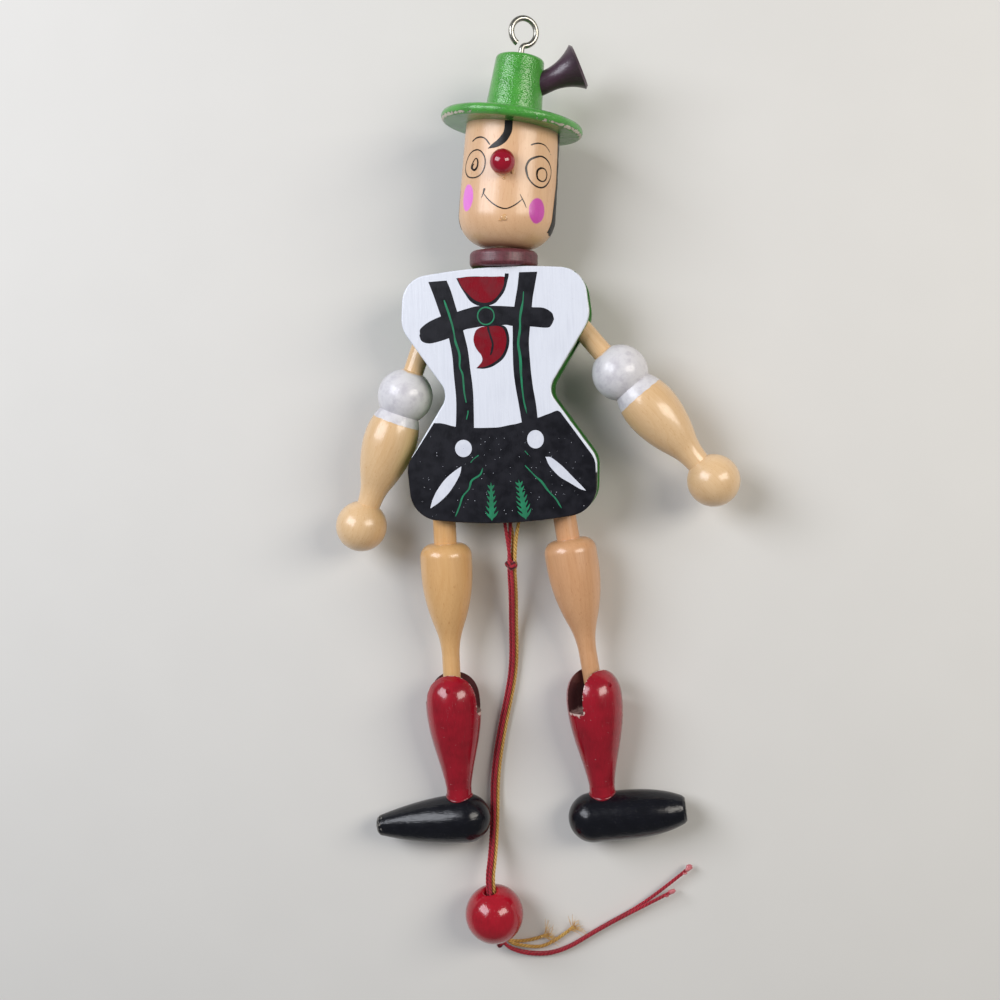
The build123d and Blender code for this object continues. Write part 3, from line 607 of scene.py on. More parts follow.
def head_lacquer():
    """Lacquered maple head with its grain from chin to hat, and two sprayed pink cheeks.

    A cheek is where its oval's own radius is below 1, soft over a tenth. The way round the face is the
    angle about the head's axis times the head's radius."""
    made, tree = material("lacquered_maple_with_sprayed_cheeks")
    place = own_place(tree, chin)
    x, up, z = add(tree, "SeparateXYZ", place).node.outputs
    colour, grain = turned_wood(tree, place, "#E6BC92", "#D2A077", ring=2.6, seed=(3.0, 0.0, 5.0))
    angle = add(tree, "Math", x, z, operation="ARCTAN2")
    around = add(tree, "Math", angle, HEAD_RADIUS, operation="MULTIPLY")
    for centre, halves, pink, deep in CHEEKS:
        shares = []
        for value, middle, half in zip((around, up), centre, halves):
            off = add(tree, "Math", value, middle, operation="SUBTRACT")
            shares.append(add(tree, "Math", off, half, operation="DIVIDE"))
        reach = radius_of(tree, *shares)
        rough_edge = add(tree, "Math", lumps(tree, place, 0.8, 3.0), 0.1, reach, operation="MULTIPLY_ADD")
        spray = add(tree, "Mix", lumps(tree, place, 1.2, 3.0), srgb(pink), srgb(deep), **COLOURS)
        cover = add(tree, "MapRange", rough_edge, 0.95, 1.09, 0.93, 0.0, **SMOOTH)
        colour = add(tree, "Mix", cover, colour, spray, **COLOURS)
    runs = lumps(tree, place, 1.6, 3.0, stretch=(1, 7, 1))
    height = add(tree, "Math", runs, 0.9, grain, operation="MULTIPLY_ADD")
    bumps = add(tree, "Bump", links={"Height": height, "Distance": 0.05 * MM})
    add(tree, "OutputMaterial", add(tree, "BsdfPrincipled", links={
        "Base Color": colour, "Roughness": 0.36, "IOR": 1.5, "Coat Weight": 0.4, "Coat Roughness": 0.2,
        "Normal": bumps, "Coat Normal": bumps}))
    return made


SLEEVE_START = 21.0


def limb_lacquer(name, plane, sleeve_end=None, seed=(0, 0, 0), pale="#E8C69A", dark="#D6AC78"):
    """Lacquered birch limb with its grain along y, and a white painted sleeve down to sleeve_end.

    The paint ends in a slightly wavy line in the turned groove and has dull, rubbed patches and dark
    specks."""
    made, tree = material(name)
    place = own_place(tree, plane)
    colour, height = turned_wood(tree, place, pale, dark, seed=seed)
    marks = add(tree, "MapRange", lumps(tree, place, 0.9, 3.0, 0.7), 0.74, 0.78, **SMOOTH)
    marks = add(tree, "Math", marks, 0.55, operation="MULTIPLY")
    colour = add(tree, "Mix", marks, colour, srgb("#7A4A2A"), blend_type="MULTIPLY", **COLOURS)
    roughness = 0.34
    if sleeve_end:
        down = add(tree, "SeparateXYZ", place).node.outputs[1]
        wavy = add(tree, "Math", lumps(tree, place, 2.5), 0.9, down, operation="MULTIPLY_ADD")
        start = add(tree, "MapRange", wavy, SLEEVE_START, SLEEVE_START + 0.6, **SMOOTH)
        end = add(tree, "MapRange", wavy, sleeve_end + 0.35, sleeve_end + 0.55, 1.0, 0.0, **SMOOTH)
        sleeve = add(tree, "Math", start, end, operation="MULTIPLY")
        smears = lumps(tree, place, 3.5, 4.0, 0.6)
        rubbed = add(tree, "MapRange", smears, 0.4, 0.7, **SMOOTH)
        white = add(tree, "Mix", rubbed, srgb("#DEDCDF"), srgb("#C9C6CC"), **COLOURS)
        specks = add(tree, "MapRange", lumps(tree, place, 0.6), 0.73, 0.77, **SMOOTH)
        specks = add(tree, "Math", specks, 0.5, operation="MULTIPLY")
        white = add(tree, "Mix", specks, white, srgb("#9A948E"), **COLOURS)
        colour = add(tree, "Mix", sleeve, colour, white, **COLOURS)
        roughness = add(tree, "MapRange", sleeve, 0.0, 1.0, roughness, 0.46, **SMOOTH)
        height = add(tree, "Math", smears, 0.5, height, operation="MULTIPLY_ADD")
        height = add(tree, "Math", sleeve, 0.8, height, operation="MULTIPLY_ADD")
    bumps = add(tree, "Bump", links={"Height": height, "Distance": 0.04 * MM})
    add(tree, "OutputMaterial", add(tree, "BsdfPrincipled", links={
        "Base Color": colour, "Roughness": roughness, "IOR": 1.5, "Coat Weight": 0.55, "Coat Roughness": 0.12,
        "Normal": bumps, "Coat Normal": bumps}))
    return made


STOCKING_RED, STOCKING_SHADE = "#A00E24", "#7C0819"


def stocking_paint(hand):
    """Dark red gloss paint over the turned calf, with a raw sawn slot and paint chipped off the slot's
    edges.

    In the slot's plane z is across the slot; its floor slopes to one side below the pin: a point is under
    it where its y less its x times the slope's tangent is more than the slot's depth. The raw wood in the
    slot is darkened to a deep red over its walls, and less, in patches, near its floor. Chips follow flakes
    of 1.1 mm along the slot's side edges and its floor."""
    made, tree = material(f"red_gloss_paint_on_{hand}_calf")
    place = own_place(tree, knee_slot[hand])
    painted, height = brushed_paint(tree, place, STOCKING_RED, STOCKING_SHADE, (1, 6, 1), 5.0)
    x, y, z = add(tree, "SeparateXYZ", place).node.outputs
    across = add(tree, "Math", z, operation="ABSOLUTE")
    slope = tan(radians(SIDE[hand] * SLOT_SLOPE[hand]))
    below_pin = add(tree, "Math", x, -slope, y, operation="MULTIPLY_ADD")
    below_floor = add(tree, "Math", below_pin, SLOT_DEPTH[hand], operation="SUBTRACT")
    between_cheeks = add(tree, "MapRange", across, SLOT_HALF + 0.005, SLOT_HALF + 0.03, 1.0, 0.0, **SMOOTH)
    above_floor = add(tree, "MapRange", below_floor, 0.02, 0.06, 1.0, 0.0, **SMOOTH)
    in_slot = add(tree, "Math", between_cheeks, above_floor, operation="MULTIPLY")

    raw_wood, _ = turned_wood(tree, place, "#C4A79C", "#7A4A44", seed=(9.0, 2.0, 1.0))
    # The slot's raw wood is darkened to a deep red: fully on its walls, less and in patches near its floor
    patchy_reach = add(tree, "Math", lumps(tree, place, 1.6, 3.0), 3.0, below_floor, operation="MULTIPLY_ADD")
    slot_darkening = add(tree, "MapRange", patchy_reach, 0.6, 2.2, 1.0, 0.0, **SMOOTH)
    slot_darkening = add(tree, "Math", slot_darkening, 0.75, 0.2, operation="MULTIPLY_ADD")
    darkened_slot_wood = add(tree, "Mix", slot_darkening, raw_wood, srgb("#4A0A14"), **COLOURS)

    near_side = add(tree, "MapRange", across, SLOT_HALF, SLOT_HALF + 0.9, 1.0, 0.0, **SMOOTH)
    side_height = add(tree, "MapRange", below_floor, 0.2, 1.0, 0.62, 0.0, **SMOOTH)
    side_edge = add(tree, "Math", near_side, side_height, operation="MULTIPLY")
    off_floor = add(tree, "Math", below_floor, operation="ABSOLUTE")
    near_floor = add(tree, "MapRange", off_floor, 0.2, 2.2, 1.0, 0.0, **SMOOTH)
    mid_floor = add(tree, "MapRange", across, 2.2, 4.4, 1.0, 0.0, **SMOOTH)
    floor_edge = add(tree, "Math", near_floor, mid_floor, operation="MULTIPLY")
    worn = add(tree, "Math", side_edge, floor_edge, operation="MAXIMUM")
    flaked = add(tree, "Math", worn, 0.36, lumps(tree, place, 1.1, 4.0, 0.65), operation="MULTIPLY_ADD")
    bare = add(tree, "MapRange", flaked, 0.74, 0.77, **SMOOTH)
    chips = add(tree, "Mix", lumps(tree, place, 0.5), srgb("#E8D3C8"), srgb("#C99A92"), **COLOURS)
    specks = add(tree, "MapRange", lumps(tree, place, 0.55, 1.0), 0.78, 0.8, **SMOOTH)
    specks = add(tree, "Math", specks, 0.8, operation="MULTIPLY")
    mixed = add(tree, "Mix", specks, painted, srgb("#E6D4D2"), **COLOURS)
    mixed = add(tree, "Mix", bare, mixed, chips, **COLOURS)
    mixed = add(tree, "Mix", in_slot, mixed, darkened_slot_wood, **COLOURS)

    dull = add(tree, "Math", bare, in_slot, operation="MAXIMUM")
    sunk = add(tree, "Math", dull, 1.5, operation="MULTIPLY")
    height = add(tree, "Math", height, sunk, operation="SUBTRACT")
    bumps = add(tree, "Bump", links={"Height": height, "Distance": 0.06 * MM})
    add(tree, "OutputMaterial", add(tree, "BsdfPrincipled", links={
        "Base Color": mixed, "Roughness": add(tree, "MapRange", dull, 0.0, 1.0, 0.2, 0.75, **SMOOTH),
        "IOR": 1.5, "Coat Weight": 0.4, "Coat Roughness": 0.07, "Normal": bumps, "Coat Normal": bumps}))
    return made


def stained_disc():
    """A beech disc dipped in dark red stain: turning grooves and pores round its rim take more colour."""
    made, tree = material("dark_red_stained_beech")
    place = own_place(tree, collar)
    grooves = lumps(tree, place, 0.3, 3.0, 0.6, stretch=(7, 1, 7))
    pores = lumps(tree, place, 0.5, 3.0, 0.7, stretch=(1, 5, 1))
    pores = add(tree, "Math", pores, 0.6, operation="MULTIPLY")
    depth = add(tree, "Math", grooves, 0.5, pores, operation="MULTIPLY_ADD")
    share = add(tree, "MapRange", depth, 0.35, 0.8, **SMOOTH)
    bumps = add(tree, "Bump", links={"Height": depth, "Distance": 0.1 * MM})
    add(tree, "OutputMaterial", add(tree, "BsdfPrincipled", links={
        "Base Color": add(tree, "Mix", share, srgb("#713741"), srgb("#43191F"), **COLOURS),
        "Roughness": 0.42, "IOR": 1.5, "Coat Weight": 0.2, "Coat Roughness": 0.3, "Normal": bumps}))
    return made


def drawn_steel(name, plane, colour="#B9B7AE"):
    """Nickel-plated drawn wire: thumbed grey patches of about 1.6 mm and a few brown rust points."""
    made, tree = material(name)
    place = own_place(tree, plane)
    patches = lumps(tree, place, 1.6, 3.0)
    rust = add(tree, "MapRange", lumps(tree, place, 0.8, 4.0, 0.7), 0.7, 0.76, **SMOOTH)
    rust_share = add(tree, "Math", rust, 0.6, operation="MULTIPLY")
    mixed = add(tree, "Mix", patches, srgb(colour), srgb("#8C8A82"), **COLOURS)
    height = add(tree, "Math", patches, rust, operation="ADD")
    bumps = add(tree, "Bump", links={"Height": height, "Distance": 0.02 * MM})
    add(tree, "OutputMaterial", add(tree, "BsdfPrincipled", links={
        "Base Color": add(tree, "Mix", rust_share, mixed, srgb("#6B4A32"), **COLOURS), "Metallic": 1.0,
        "Roughness": add(tree, "MapRange", patches, 0.3, 0.7, 0.2, 0.38, **SMOOTH), "Normal": bumps}))
    return made


def spun_string(name, pale, dark, groove):
    """Twisted rayon string, dull with a soft sheen, with painted shade in the grooves between its plies.

    The piece's own map runs in millimetres along the ply, and from 0 in the groove between plies to 1
    outside, and the colour groove is painted there as shade. Fibres of about 0.1 mm are drawn 1 mm long
    and a quarter of the map wide, coarse enough to show."""
    made, tree = material(name)
    where = add(tree, "UVMap", uv_map="surface")
    fibres = lumps(tree, where, 1.0, 3.0, 0.6, stretch=(1 / 0.9, 1 / 4.0, 1))
    patches = lumps(tree, where, 1.0, stretch=(1 / 0.07, 1 / 0.4, 1))
    faint = add(tree, "Math", patches, 0.5, -0.25, operation="MULTIPLY_ADD")
    share = add(tree, "Math", fibres, 0.9, faint, operation="MULTIPLY_ADD")
    share = add(tree, "MapRange", share, 0.2, 0.75, **SMOOTH)
    mixed = add(tree, "Mix", share, srgb(dark), srgb(pale), **COLOURS)
    out = add(tree, "SeparateXYZ", where).node.outputs[1]
    # Painted shade in the grooves between plies, darkest where the map is lowest
    groove_shade = add(tree, "MapRange", out, 0.42, 0.9, 0.88, 0.0, **SMOOTH)
    bumps = add(tree, "Bump", links={"Height": fibres, "Distance": 0.08 * MM})
    add(tree, "OutputMaterial", add(tree, "BsdfPrincipled", links={
        "Base Color": add(tree, "Mix", groove_shade, mixed, srgb(groove), **COLOURS), "Roughness": 0.78,
        "IOR": 1.46, "Sheen Weight": 0.35, "Sheen Roughness": 0.4, "Normal": bumps}))
    return made


def melted_string():
    """String ends sealed with a flame: a hard pale pink bead of melt."""
    made, tree = material("melted_string_end")
    cloud = lumps(tree, row_place(tree), 0.7, 3.0)
    bumps = add(tree, "Bump", links={"Height": cloud, "Distance": 0.1 * MM})
    add(tree, "OutputMaterial", add(tree, "BsdfPrincipled", links={
        "Base Color": add(tree, "Mix", cloud, srgb("#D98C90"), srgb("#B8454F"), **COLOURS),
        "Roughness": 0.4, "IOR": 1.5, "Coat Weight": 0.3, "Normal": bumps}))
    return made


def glue(name, colour, shade):
    """A hardened drop of clear glue or lacquer, glassy, tinted by what is under it."""
    made, tree = material(name)
    cloud = lumps(tree, own_place(tree, figure), 1.0)
    bumps = add(tree, "Bump", links={"Height": cloud, "Distance": 0.05 * MM})
    add(tree, "OutputMaterial", add(tree, "BsdfPrincipled", links={
        "Base Color": add(tree, "Mix", cloud, srgb(colour), srgb(shade), **COLOURS),
        "Roughness": 0.18, "IOR": 1.48, "Coat Weight": 0.6, "Coat Roughness": 0.06, "Normal": bumps}))
    return made


def table_paint():
    """Matt white laminate with a barely visible mottling of 30 mm clouds."""
    made, tree = material("matt_pale_table")
    cloud = lumps(tree, row_place(tree), 30.0, 3.0)
    add(tree, "OutputMaterial", add(tree, "BsdfPrincipled", links={
        "Base Color": add(tree, "Mix", cloud, srgb("#DCDAD5"), srgb("#D8D6D1"), **COLOURS),
        "Roughness": 0.8}))
    return made


floor.data.materials.append(table_paint())


def rim_wear(tree, x, y, z):
    """Wear on the hat: on the brim's lower outer edge, most at its two sides, and a little on the crown's
    top edge."""
    edge = add(tree, "MapRange", radius_of(tree, x, z), 21.6, 22.9, **SMOOTH)
    low = add(tree, "MapRange", y, 1.5, 0.5, 0.1, 1.0, **SMOOTH)
    to_side = add(tree, "Math", x, operation="ABSOLUTE")
    sides = add(tree, "MapRange", to_side, 6.0, 17.0, 0.3, 1.0, **SMOOTH)
    brim = add(tree, "Math", add(tree, "Math", edge, low, operation="MULTIPLY"), sides, operation="MULTIPLY")
    top = add(tree, "Math", add(tree, "MapRange", y, 22.4, 23.3, **SMOOTH), 0.25, operation="MULTIPLY")
    return add(tree, "Math", brim, top, operation="MAXIMUM")


def toe_wear(tree, x, y, z):
    """Wear on a shoe: at the toe and a little along the heel."""
    toe = add(tree, "MapRange", y, 25.8, 28.0, 0.0, 0.75, **SMOOTH)
    heel = add(tree, "MapRange", y, -8.0, -11.0, 0.0, 0.3, **SMOOTH)
    return add(tree, "Math", toe, heel, operation="MAXIMUM")


SLEEVE_END = {"left": 38.3, "right": 39.2}
THIGH_TONES = {"left": ("#E2B57C", "#CF9B60"), "right": ("#DAA87C", "#C38C60")}
MATERIALS = {
    "front_plate": front_plate_paint(),
    "back_plate": gloss_paint(
        "green_gloss_paint_on_plywood", figure, PLATE_GREEN, PLATE_GREEN_SHADE, streak=(1, 9, 1), rough=0.3),
    "head": head_lacquer(),
    "nose_bead": gloss_paint("dark_red_gloss_bead", chin, "#A00D28", "#7A0820", rough=0.1, relief=0.01),
    "collar_disc": stained_disc(),
    "hat": gloss_paint(
        "grass_green_gloss_paint", hat_base, "#51A541", "#3B8832", rim_wear,
        rough=0.16, relief=0.3, patch=4.0),
    "hat_brush": gloss_paint(
        "dark_plum_paint_on_brush", brush_foot, "#43283A", "#27141F",
        streak=(1, 7, 1), rough=0.38, relief=0.1),
    "screw_eye": drawn_steel("nickel_plated_steel_eye", hat_base),
    "pull_bead": gloss_paint(
        "red_gloss_paint_on_bead", figure, "#B21529", "#8E0C1D", streak=(1, 7, 1), rough=0.16, relief=0.05),
}
for hand in SIDE:
    MATERIALS[f"arm_{hand}"] = limb_lacquer(
        f"lacquered_birch_{hand}_arm", shoulder[hand], SLEEVE_END[hand], seed=(SIDE[hand] * 4.0, 10.0, 3.0))
    MATERIALS[f"thigh_{hand}"] = limb_lacquer(
        f"lacquered_birch_{hand}_thigh", hip[hand], None, (SIDE[hand] * 5.0, 40.0, 8.0), *THIGH_TONES[hand])
    MATERIALS[f"shin_{hand}"] = stocking_paint(hand)
    MATERIALS[f"shoe_{hand}"] = gloss_paint(
        f"black_gloss_paint_on_{hand}_shoe", sole[hand], "#0A0B12", "#13141C", toe_wear, streak=(1, 6, 1),
        relief=0.12, patch=3.0, chip_colour="#9A968E", chip_edge="#4C4A48", coat=0.15, mirror=0.35)
    MATERIALS[f"knee_pin_{hand}"] = gloss_paint(
        f"red_gloss_paint_over_{hand}_knee_pin", knee[hand], "#9A0E22", STOCKING_SHADE)
    for pin in (f"shoulder_pin_{hand}", f"hip_pin_{hand}"):
        MATERIALS[pin] = drawn_steel(f"bright_steel_{pin}", figure, "#A7A7A3")
raw_dowel = limb_lacquer("raw_birch_dowel", neck, pale="#E2CFA9", dark="#B89870")
MATERIALS["neck_block"] = MATERIALS["neck_peg"] = raw_dowel
for node, finish in MATERIALS.items():
    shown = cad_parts[node]
    shown.data.materials.clear()
    shown.data.materials.append(finish)

# =============================================================== strings, knots and bead
CORD_DIAMETER = 1.25
STRAND_OFFSET = 1.02

# Three plies go round each other once in 3.9 mm; a ply's radius is 0.262 of the string's diameter
PLIES, PLY_SHARE, LAY_LENGTH = 3, 0.262, 3.9
bead_centre = np.array((-14.4, -161.1, 9.85))
BORE_TURN, BORE_TILT, BORE_REACH = 7.0, 20.0, 11.5
bore_turn = Matrix.Rotation(radians(BORE_TURN), 3, "Z") @ Matrix.Rotation(radians(BORE_TILT), 3, "X")
bore = np.array(bore_turn @ Vector((0, 1, 0)))

# The strands' control points are those of the CAD tubes, in the row frame
shared_route = [
    (-8.0, -41.7, 13.7),
    (-7.9, -52.0, 9.2),
    (-8.5, -62.5, 4.4),
    (-8.6, -75.0, 1.8),
    (-9.6, -84.0, 1.7),
    (-13.0, -100.0, 1.7),
    (-15.3, -115.5, 1.7),
    (-15.3, -129.0, 2.2),
    (-15.0, -140.5, 8.4),
]
through_bead = [bead_centre + bore * BORE_REACH, bead_centre - bore * BORE_REACH]
strand_sides = {
    "red_cord_left": (0, 0, 1),
    "red_cord_right": (-1, 0, 0),
    "yellow_cord_left": (0, 0, -1),
    "yellow_cord_right": (1, 0, 0),
}
lever_routes = {
    "red_cord_left": [
        (-34.9, 52.6, 20.2), (-25.5, 49.2, 19.9), (-20.6, 32.0, 19.0), (-15.4, 6.0, 17.8),
        (-10.8, -22.0, 16.1)],
    "red_cord_right": [
        (7.7, 54.2, 20.2), (-0.5, 47.2, 19.7), (-3.8, 30.0, 18.4), (-6.2, 5.0, 16.4), (-8.0, -22.0, 14.8)],
    "yellow_cord_left": [(-36.8, -5.7, 16.4), (-24.8, -5.5, 16.3), (-13.2, -18.2, 13.3), (-7.3, -29.5, 12.4)],
    "yellow_cord_right": [(12.3, -3.4, 16.4), (0.4, -5.1, 16.3), (-3.4, -19.0, 15.8), (-6.2, -31.0, 15.2)],
}
tail_routes = {
    "red_cord_left": [
        (-5.6, -177.3, 2.2), (7.0, -176.6, 2.2), (21.5, -166.8, 2.5), (35.0, -158.9, 3.2),
        (45.2, -153.0, 3.9)],
    "red_cord_right": [
        (-5.6, -177.3, 0.8), (7.0, -176.6, 0.8), (21.5, -166.8, 1.1), (34.0, -159.3, 1.8),
        (43.8, -151.4, 2.5), (50.9, -145.1, 2.9)],
    "yellow_cord_left": [(-3.8, -173.2, 1.1), (1.0, -171.0, 1.6)],
    "yellow_cord_right": [(-3.2, -174.6, 2.3), (3.4, -174.2, 1.5), (10.6, -168.3, 1.6)],
}
# Each string: its pale and dark fibre colours, then the painted shade in the grooves between plies
STRING = {
    "red": spun_string("red_twisted_string", "#CE2C40", "#9A1628", "#2E020A"),
    "yellow": spun_string("yellow_twisted_string", "#F0CC74", "#C08A3A", "#6E4212"),
}
MELT = melted_string()


def strand_line(name):
    """Points 0.25 mm apart on the strand's line, the quadratic NURBS curve of its control points."""
    shift = np.array(strand_sides[name]) * STRAND_OFFSET
    points = lever_routes[name] + [np.array(p) + shift for p in shared_route]
    points += [p + shift for p in through_bead] + tail_routes[name]
    curve = bpy.data.curves.new(name + "_line", "CURVE")
    curve.dimensions = "3D"
    curve.resolution_u = 24
    spline = curve.splines.new("NURBS")
    spline.points.add(len(points) - 1)
    spline.points.foreach_set("co", np.array([[*(np.array(p) * MM), 1.0] for p in points]).ravel())
    spline.order_u = 3
    spline.use_endpoint_u = True
    holder = bpy.data.objects.new(name + "_line", curve)
    scene.collection.objects.link(holder)
    bpy.context.view_layer.update()
    drawn = bpy.data.meshes.new_from_object(holder)
    line = np.zeros(len(drawn.vertices) * 3)
    drawn.vertices.foreach_get("co", line)
    line = line.reshape(-1, 3) / MM
    length = along_line(line)[-1]
    bpy.data.objects.remove(holder)
    bpy.data.meshes.remove(drawn)
    bpy.data.curves.remove(curve)
    return evenly(line, int(length / 0.25) + 1)


def twisted(line, diameter, phase):
    """A string of three plies: each ply's centre circles the line once every LAY_LENGTH millimetres.

    Ply k's centre is the line plus ring * (cos(angle) * side + sin(angle) * top), where the angle is 2 pi
    times the distance over the lay, plus 2 pi k / 3, plus the phase."""
    tangent, side, top = path_frames(line)
    reach = along_line(line)
    ply, around = diameter * PLY_SHARE, 7
    ring = diameter / 2 - ply
    own = np.linspace(0, 2 * pi, around, endpoint=False)
    shells = []
    for k in range(PLIES):
        angle = 2 * pi * reach / LAY_LENGTH + 2 * pi * k / PLIES + phase
        centre = line + ring * (np.cos(angle)[:, None] * side + np.sin(angle)[:, None] * top)
        points, faces, uv = tube(centre, ply, around)
        # The map's second value places the painted groove shade: 1 on a ply's outside, 0 where it meets the
        # next ply
        uv[:len(line) * around, 1] = (0.5 + 0.5 * np.cos(own[None, :] - angle[:, None])).ravel()
        shells.append((points, faces, uv))
    return shells


def trefoil(centre, size, axis, radius, seed=0.0):
    """A pulled-tight overhand knot: a tube on a closed line that crosses itself three times.

    The line is (sin a + 2 sin 2a, cos a - 2 cos 2a, -1.25 sin 3a) / 3 times size, with its third axis along
    axis. Its map paints the groove shade of a twist of 1.6 mm onto the one smooth tube."""
    a = np.linspace(0, 2 * pi, 90, endpoint=False) + seed
    loop = np.stack([
        np.sin(a) + 2 * np.sin(2 * a), np.cos(a) - 2 * np.cos(2 * a), -1.25 * np.sin(3 * a)], -1) / 3
    z = unit(np.asarray(axis, float))
    x = unit(np.cross(z, (0.3, 0.2, 1.0)))
    turned = np.stack([x, np.cross(z, x), z])
    around = 9
    points, faces, uv = tube(loop * size @ turned + centre, radius, around, closed=True)
    own = np.linspace(0, 2 * pi, around, endpoint=False)
    uv[..., 1] = 0.62 + 0.38 * np.cos(2 * own[None, :] + 2 * pi * uv[..., 0] / 1.6)
    return points, faces, uv


strand_pieces = {}
lines = {name: strand_line(name) for name in strand_sides}
for number, (name, line) in enumerate(lines.items()):
    colour = name.split("_")[0]
    shells = twisted(line, CORD_DIAMETER, phase=number * 1.3)
    shells.append(trefoil(line[0], 0.95, line[0] - line[6], 0.5, seed=number))
    strand = make_piece(name + "_string", shells, STRING[colour])
    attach(strand, "pull_string")
    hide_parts(name)
    strand_pieces[name] = strand

knot_axis = unit(np.array(shared_route[1]) - np.array(shared_route[0]))
knot_centre = np.array(shared_route[0])
knot_shells = [
    trefoil(knot_centre, 1.5, knot_axis, 0.82),
    trefoil(knot_centre + 0.3 * knot_axis, 1.42, knot_axis, 0.8, seed=1.1),
]
pull_knot = make_piece("tied_pull_knot", knot_shells, STRING["red"])
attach(pull_knot, "pull_string")
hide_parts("pull_knot")
under_bead = bead_centre - bore * 11.9
bead_shells = [
    trefoil(under_bead, 1.52, bore, 0.62, 0.4),
    trefoil(under_bead + 0.2 * bore, 1.4, bore, 0.6, 1.7),
]
bead_knot = make_piece("tied_bead_knot", bead_shells, STRING["red"])
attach(bead_knot, "pull_string")
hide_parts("bead_knot")


def melted_end(name, line, size, seed):
    """The melt at a string's end: an oval drop a little wider than the string, drawn out along it."""
    way = unit(line[-1] - line[-9])
    side = unit(np.cross(way, (0, 0, 1.0)))
    plane = np.eye(4)
    plane[:3, :3] = np.stack([side, np.cross(side, way), way], -1)
    drop = blob(line[-1] + way * 0.3, (size, size * 0.85, size * 1.5), seed, 0.3, plane)
    lump = blob(line[-8] + side * 0.35, (size * 0.7, size * 0.6, size * 0.8), seed + 1, 0.3, plane)
    made = make_piece(name, [drop, lump], MELT)
    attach(made, "pull_string")
    return made


def frayed_end(name, line, length, spread, seed):
    """A frayed end: fibres that leave the cut string and bend apart.

    At the share t of its own length, a fibre is that far along the string, t squared times its spread to
    the side and up, plus a small wave to the side; it stays above the table."""
    count, steps = 34, 14
    rng = np.random.default_rng(seed)
    way = unit(line[-1] - line[-13])
    side = unit(np.cross(way, (0, 0, 1.0)))
    up = np.cross(side, way)
    t = np.linspace(0, 1, steps)[None, :, None]
    far = rng.uniform(0.45, 1.0, count)[:, None, None] * length
    out = rng.normal(0, spread, (count, 1, 1))
    lift = rng.uniform(-0.25, 0.9, (count, 1, 1)) * spread * 0.7
    seat = rng.uniform(-0.45, 0.45, (count, 2))
    base = line[-1] + seat[:, :1] * side + seat[:, 1:] * up
    turns, starts = rng.uniform(3, 8, (count, 1, 1)), rng.uniform(0, 6, (count, 1, 1))
    wave = 0.12 * length * np.sin(t * turns + starts) * t
    paths = base[:, None, :] + way * far * t + side * (out * t**2 * length + wave) + up * lift * t**2 * length
    paths[..., 2] = np.maximum(paths[..., 2], 0.12)
    shells = [tube(fibre, np.linspace(0.11, 0.05, steps), 5) for fibre in paths]
    # The loose fibres get no painted groove shade
    for shell in shells:
        shell[2][:, 1] = 1.0
    made = make_piece(name, shells, STRING["yellow"])
    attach(made, "pull_string")
    return made


string_ends = {
    "red_cord_left": melted_end("melted_end_upper", lines["red_cord_left"], 0.85, 3),
    "red_cord_right": melted_end("melted_end_lower", lines["red_cord_right"], 0.95, 7),
    "yellow_cord_left": frayed_end("frayed_end_short", lines["yellow_cord_left"], 5.5, 0.55, 11),
    "yellow_cord_right": frayed_end("frayed_end_long", lines["yellow_cord_right"], 4.8, 0.5, 12),
}
for name, strand in strand_pieces.items():
    line = lines[name]
    with_pieces = [string_ends[name]]
    if name == "red_cord_left":
        with_pieces += [pull_knot, bead_knot, "pull_bead"]

# =============================================================== the printed costume
def rounded_outline(corners, radii, per_corner=10):
    """A closed outline whose corners are replaced by arcs that touch both sides, as evenly stepped points.

    With half the corner's angle h, an arc's centre lies radius / sin h from the corner, halfway between the
    sides, and the arc starts radius / tan h along each of them."""
    made = []
    count = len(corners)
    for i in range(count):
        before, here, after = (np.array(corners[(i + k) % count], float) for k in (-1, 0, 1))
        a, b = unit(before - here), unit(after - here)
        half = np.arccos(np.clip(a @ b, -1, 1)) / 2
        nearly_straight = half > pi / 2 - 0.03
        if radii[i] <= 0 or nearly_straight:
            made.append(here[None])
            continue
        reach = radii[i] / np.tan(half)
        centre = here + unit(a + b) * radii[i] / np.sin(half)
        start, end = here + a * reach - centre, here + b * reach - centre
        u = np.linspace(0, 1, per_corner)[:, None]
        bow = np.arccos(np.clip(start @ end / radii[i] ** 2, -1, 1))
        made.append(centre + (start * np.sin((1 - u) * bow) + end * np.sin(u * bow)) / np.sin(bow))
    return np.concatenate(made)


def bowed(x, half, bulge):
    """Height of a bowed edge above the line between its ends: bulge times 1 less the square of x / half."""
    return bulge * (1 - (x / half) ** 2)


TORSO_HEIGHT, TOP_HALF, BOTTOM_HALF = 83.6, 29.7, 30.6
TOP_BULGE, BOTTOM_BULGE = 2.3, 3.0
shoulder_height = TORSO_HEIGHT - TOP_BULGE
bow_share = np.array([s for s in np.linspace(-1, 1, 15) if abs(s) < 0.7])
top_x, bottom_x = bow_share * TOP_HALF, -bow_share * BOTTOM_HALF
right_corners = [
    (TOP_HALF, shoulder_height), (31.2, 65.5), (16.4, 43.0), (31.6, 20.4), (BOTTOM_HALF, BOTTOM_BULGE)]
right_radii = [9.0, 10.0, 6.0, 8.0, 10.0]
bottom_bow = list(zip(bottom_x, BOTTOM_BULGE - bowed(bottom_x, BOTTOM_HALF, BOTTOM_BULGE)))
top_bow = list(zip(top_x, shoulder_height + bowed(top_x, TOP_HALF, TOP_BULGE)))
left_corners = [(-x, y) for x, y in right_corners[::-1]]
torso_outline = rounded_outline(
    right_corners + bottom_bow + left_corners + top_bow,
    right_radii + [0] * len(bottom_bow) + right_radii[::-1] + [0] * len(top_bow))


